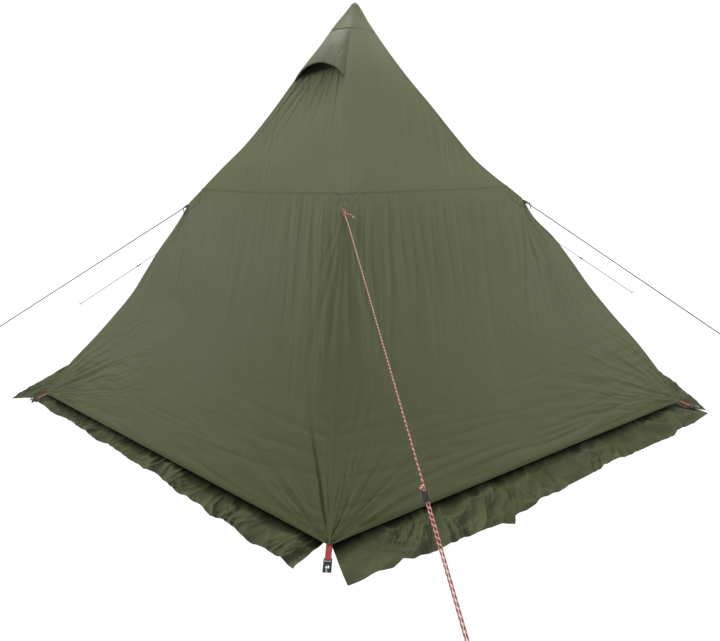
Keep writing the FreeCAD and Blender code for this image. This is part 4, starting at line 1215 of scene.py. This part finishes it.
def make_skirt():
    points, along, out, shade = zip(*[skirt_strip(i) for i in range(6)])
    verts, faces = shell([(top, top - [0, 0, 0.0012]) for top in points], rim_step=1)
    skirt = build("snow_skirt_cloth", verts, faces, {
        "fx": twice(along), "fy": twice(out), "hgt": verts[:, 2], "shade": twice(shade)})
    tidy(skirt)
    fit(skirt, SKIRT, "canopy", "skirt_cloth", "snow_skirt")


make_skirt()

# ---------------------------------------------------------------- door
door_face = FACES[DOOR]


def make_door():
    v = np.linspace(0, 1, int(230 * FINE))[::-1, None]
    u = np.concatenate([[-1.0], np.linspace(-0.985, 1, int(90 * FINE))])
    y = DOOR_LOW + (DOOR_HIGH - DOOR_LOW) * v + 0 * u
    jamb = door_half(y)
    x = (jamb - 0.0005) * u
    x[:, 0] = -(jamb[:, 0] + 0.012)        # the sewn edge laps over the fixed cloth
    off = (0.0012 * (y < DOOR_LOW + 0.022) + 0.0010 * (x > jamb - 0.016)
           + 0.0022 * (x < -jamb + 0.012))
    door = sheet("door_cloth", [layer(DOOR, x, y, off, off - 0.0010)])
    fit(door, CLOTH, None, "canopy_cloth", "door_panel")
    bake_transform(door)


def make_zip():
    """Tape and coil on the fixed side, and a plain binding over the top of the opening."""
    parts = Parts()
    y = np.linspace(DOOR_LOW, DOOR_HIGH, 260)
    tape = place(DOOR, door_half(y) + 0.0125, y, 0.0020)
    parts.ribbon(tape, door_face.across, half=0.0085, thick=0.0009)
    coil = place(DOOR, door_half(y) + 0.0032, y, 0.0012)
    count = 1100
    t = np.linspace(0, 1, count)
    coil = np.stack([np.interp(t, np.linspace(0, 1, len(y)), c) for c in coil.T], 1)
    parts.tube(coil, radius=0.0024 * (1 + 0.18 * np.sin(np.arange(count) * 1.9)))
    x = np.linspace(-1, 1, 60) * (DOOR_HALF_HIGH + 0.012)
    binding = place(DOOR, x, np.full(60, DOOR_HIGH + 0.008), 0.0022)
    parts.ribbon(binding, door_face.up, half=0.0090, thick=0.0010)
    fit(parts.make("door_zip_strip"), ZIP, "canopy", "zip_tape", "door_zip_tape")


def make_ties():
    parts = Parts()
    t = np.linspace(0, 1, 26)
    for foot in (0.620, 1.240):
        x = np.full(26, -door_half(foot) - 0.046)
        path = place(DOOR, x, foot + 0.060 * t, 0.0022 + 0.010 * np.sin(np.pi * t))
        parts.ribbon(path, door_face.across, half=0.0070, thick=0.0012)
    fit(parts.make("door_tie_straps"), ZIP, "canopy", "canopy_cloth", "door_tie_loops")


make_door()
make_zip()
make_ties()


# ---------------------------------------------------------------- guy tabs
def tab_layers():
    """Doubled cloth on both sides of each pulled point."""
    t = np.linspace(0, 1, 34)[:, None]
    y = np.repeat(GUY_Y + 0.085 - 0.160 * t, 16, 1)
    reach = 0.070 * (1 - np.abs(t * 2 - 1.05).clip(0, 1) ** 1.25) + 0.004
    x = half_width(y) - 0.0005 - np.linspace(0, 1, 16) * reach
    for j in range(6):
        yield layer((j - 1) % 6, x[:, ::-1], y, 0.0012, 0.0005)
        yield layer(j, -x, y, 0.0012, 0.0005)


fit(sheet("guy_tab_patches", tab_layers()), CLOTH, "canopy", "canopy_cloth", "guy_tabs")


# ---------------------------------------------------------------- corner webbing
def strap_loop():
    """Out over the buckle's bar and back under: (outward, up) in the strap's own frame."""
    out = [(-0.040, 0.0030), (-0.015, 0.0026), (0.010, 0.0022), (0.030, 0.0026),
           (0.038, 0.0036)]
    turns = np.radians(np.linspace(100, -100, 11))
    bend = [(0.0445 + 0.00462 * math.cos(a), 0.0040 * math.sin(a)) for a in turns]
    back = [(0.038, -0.0034), (0.030, -0.0020), (0.010, -0.0006), (-0.015, 0.0004),
            (-0.040, 0.0010)]
    points = np.array(out + bend + back)
    run = lengths(points)
    t = np.linspace(0, 1, 60)
    return np.stack([np.interp(t, run / run[-1], c) for c in points.T], 1)


def make_straps():
    parts = Parts()
    loop = strap_loop()
    drop = math.radians(20)
    vertical = np.array([0, 0, 1])
    for j in range(6):
        turn = math.radians(-90 + 60 * j)
        outward = np.array([math.cos(turn), math.sin(turn), 0])
        along = outward * math.cos(drop) - vertical * math.sin(drop)
        up = outward * math.sin(drop) + vertical * math.cos(drop)
        origin = outward * (CORNER_R - 0.002) + np.array([0, 0, HEM_Z - 0.006])
        path = origin + along * loop[:, :1] + up * loop[:, 1:]
        parts.ribbon(path, np.cross(along, up), half=0.0112, thick=0.0015)
    fit(parts.make("corner_webbing_loops"), WEBBING, "canopy", "webbing", "corner_straps")


make_straps()

# ---------------------------------------------------------------- guy lines
joints = {joint["name"]: joint for joint in frame["joints"]}
CORD_R = 0.0025
STRAND_OFF, PEG_OFF = 0.0032, 0.0054   # strand's distance from the line's axis: along it, at the peg
PEG_END_Z = 0.014
CORD_STEP = 0.0045


def make_guy_line(corner):
    hook = np.array(joints["guy_lift_" + corner]["pos_m"])
    slide = joints["runner_slide_" + corner]
    along = np.array(slide["axis"])
    lift = np.array(joints["guy_peg_pull_" + corner]["axis"])
    side = np.cross(lift, along)
    length = (hook[2] - PEG_END_Z) / -along[2]
    stop_x = length * 0.61 - 0.0300        # where the returning strand ends, by the runner
    material = CORD_FRONT if corner == "front" else CORD_DARK
    body = "guy_line_" + corner

    def at(x, y=0.0, z=0.0):
        outer = np.multiply.outer
        return hook + outer(x, along) + outer(y, side) + outer(z, lift)

    def widening(x):
        return (PEG_OFF - STRAND_OFF) * np.clip((x - length + 0.06) / 0.06, 0, 1)

    cord = Parts()
    # ring through the webbing eye
    a = np.linspace(0, 2 * np.pi, 25)
    ring = at(-0.0025 + 0.0052 * np.cos(a), z=0.0052 * np.sin(a))
    cord.tube(ring, CORD_R * 0.9, caps=False)
    # knot: turns round the line, then the loose tail
    a = np.linspace(0, 3.2 * 2 * np.pi, 90)
    knot = at(0.006 + 0.00391 * a / (2 * np.pi), 0.0050 * np.cos(a), 0.0050 * np.sin(a))
    cord.tube(knot, CORD_R, start=0.3)
    t = np.linspace(0, 1, 22)
    if corner == "front":                  # a loose end with a small bight
        tail = at(0.016 + 0.030 * np.sin(2.6 * t) + 0.012 * t,
                  0.004 + 0.046 * t + 0.010 * np.sin(5.0 * t), 0.004 + 0.008 * np.sin(4 * t))
    else:
        tail = at(0.012 + 0.034 * t, 0.004 + 0.020 * t,
                  -0.002 - 0.024 * t * t + 0.010 * np.sin(3 * t))
    cord.tube(tail, CORD_R, start=0.5)
    # the standing strand, out to the peg and round it
    x = np.linspace(0.002, length, int(length / CORD_STEP))
    strand = at(x, STRAND_OFF * smooth(0.02, 0.10, x) + widening(x))
    a = np.linspace(0, np.pi, 15)[1:]
    arc = at(length + PEG_OFF * np.sin(a), PEG_OFF * np.cos(a))
    cord.tube(np.concatenate([strand, arc]), CORD_R, seg=10, braid=0.03)
    fit(cord.make("guy_cord_" + corner), material, body, "guy_cord", body)

    # the returning strand, from the peg back to the runner
    back = Parts()
    span = length - stop_x
    x = np.linspace(length, stop_x, int(span / CORD_STEP))
    radius = CORD_R - 0.00025 * (1 - smooth(0.15, 0.19, x - stop_x))
    back.tube(at(x, -STRAND_OFF - widening(x)), radius, seg=10, braid=0.05, start=0.0043)
    strand = back.make("guy_return_" + corner)
    fit(strand, material, body, "guy_cord")
    tuple(at(length))
    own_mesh(strand)

    # stopper knot at the runner
    stopper = Parts()
    a = np.linspace(0, 2.4 * 2 * np.pi, 60)
    path = at(stop_x + 0.0034 * a / (2 * np.pi), -STRAND_OFF - 0.0020 + 0.0042 * np.cos(a),
              0.0042 * np.sin(a))
    stopper.tube(path, CORD_R, start=0.1)
    fit(stopper.make("runner_knot_" + corner), material, "line_runner_" + corner, "guy_cord")


for corner in CORNERS:
    make_guy_line(corner)


# ---------------------------------------------------------------- floor, light, camera
def make_floor():
    """Near white to the camera, plain grey paper to the light."""
    floor = build("floor", [(-60, -60, 0), (60, -60, 0), (60, 60, 0), (-60, 60, 0)],
                  [(0, 1, 2, 3)])
    s = Shader("floor_paper")
    mixer = s.new("MixShader")
    glow = s.new("Emission")
    glow.inputs["Color"].default_value = (1, 1, 1, 1)
    glow.inputs["Strength"].default_value = 1.20
    paper = s.new("BsdfDiffuse")
    paper.inputs["Color"].default_value = (0.80, 0.80, 0.80, 1)
    camera_ray = s.new("LightPath").outputs["Is Camera Ray"]
    glow_share = s.mul(camera_ray, 0.88)
    for socket, value in zip(mixer.inputs, (glow_share, paper.outputs[0], glow.outputs[0])):
        s.put(socket, value)
    s.put(s.nodes["Material Output"].inputs[0], mixer.outputs[0])
    floor.data.materials.append(s.material)
    floor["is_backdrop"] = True


def make_world():
    """White all round, brighter to the camera than to the scene."""
    world = bpy.data.worlds.new("studio")
    world.use_nodes = True
    scene.world = world
    tree = world.node_tree
    background = tree.nodes["Background"]
    background.inputs[0].default_value = (1, 1, 1, 1)
    light_path = tree.nodes.new("ShaderNodeLightPath")
    strength = tree.nodes.new("ShaderNodeMapRange")
    strength.inputs["To Min"].default_value = 0.60
    strength.inputs["To Max"].default_value = 1.06
    tree.links.new(light_path.outputs["Is Camera Ray"], strength.inputs["Value"])
    tree.links.new(strength.outputs["Result"], background.inputs[1])


def area_light(name, location, target, size, power):
    light = bpy.data.lights.new(name, "AREA")
    light.energy = power
    light.size = size
    ob = bpy.data.objects.new(name, light)
    scene.collection.objects.link(ob)
    ob.location = location
    ob.rotation_mode = "QUATERNION"
    ob.rotation_quaternion = (Vector(target) - Vector(location)).to_track_quat("-Z", "Y")


def make_camera(location, lens, pitch, yaw, roll):
    """A camera looking along +Y, turned left by yaw, down by pitch and rolled; degrees."""
    data = bpy.data.cameras.new("camera")
    data.sensor_width = 36
    data.lens = lens
    data.clip_start, data.clip_end = 0.05, 200
    camera = bpy.data.objects.new("camera", data)
    scene.collection.objects.link(camera)
    pitch, yaw, roll = (math.radians(angle) for angle in (pitch, yaw, roll))
    ahead = Vector((-math.sin(yaw) * math.cos(pitch), math.cos(yaw) * math.cos(pitch),
                    -math.sin(pitch)))
    level = Vector((math.cos(yaw), math.sin(yaw), 0))
    upright = level.cross(ahead)
    right = level * math.cos(roll) - upright * math.sin(roll)
    up = level * math.sin(roll) + upright * math.cos(roll)
    matrix = Matrix.Identity(4)
    for col, vector in enumerate((right, up, -ahead, location)):
        for row in range(3):
            matrix[row][col] = vector[row]
    camera.matrix_world = matrix
    scene.camera = camera


make_floor()
make_world()
area_light("left", (-6.6, -1.2, 4.6), target=(0, -0.3, 0.9), size=1.8, power=250)
area_light("right", (6.6, -1.4, 4.4), target=(0, -0.3, 0.9), size=1.8, power=275)
area_light("back", (-0.8, 3.4, 7.5), target=(0, 0, 1.0), size=2.0, power=330)
make_camera((0.18967, -3.30459, 1.28321), lens=21.8984, pitch=18.9596, yaw=3.3000, roll=0.9701)
scene.view_settings.view_transform = "Standard"
scene.view_settings.look = "None"

bpy.context.view_layer.update()
visual_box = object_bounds()
boxes = {"cad": cad_box, "visual": visual_box}
{key: [list(map(float, v)) for v in box] for key, box in boxes.items()}
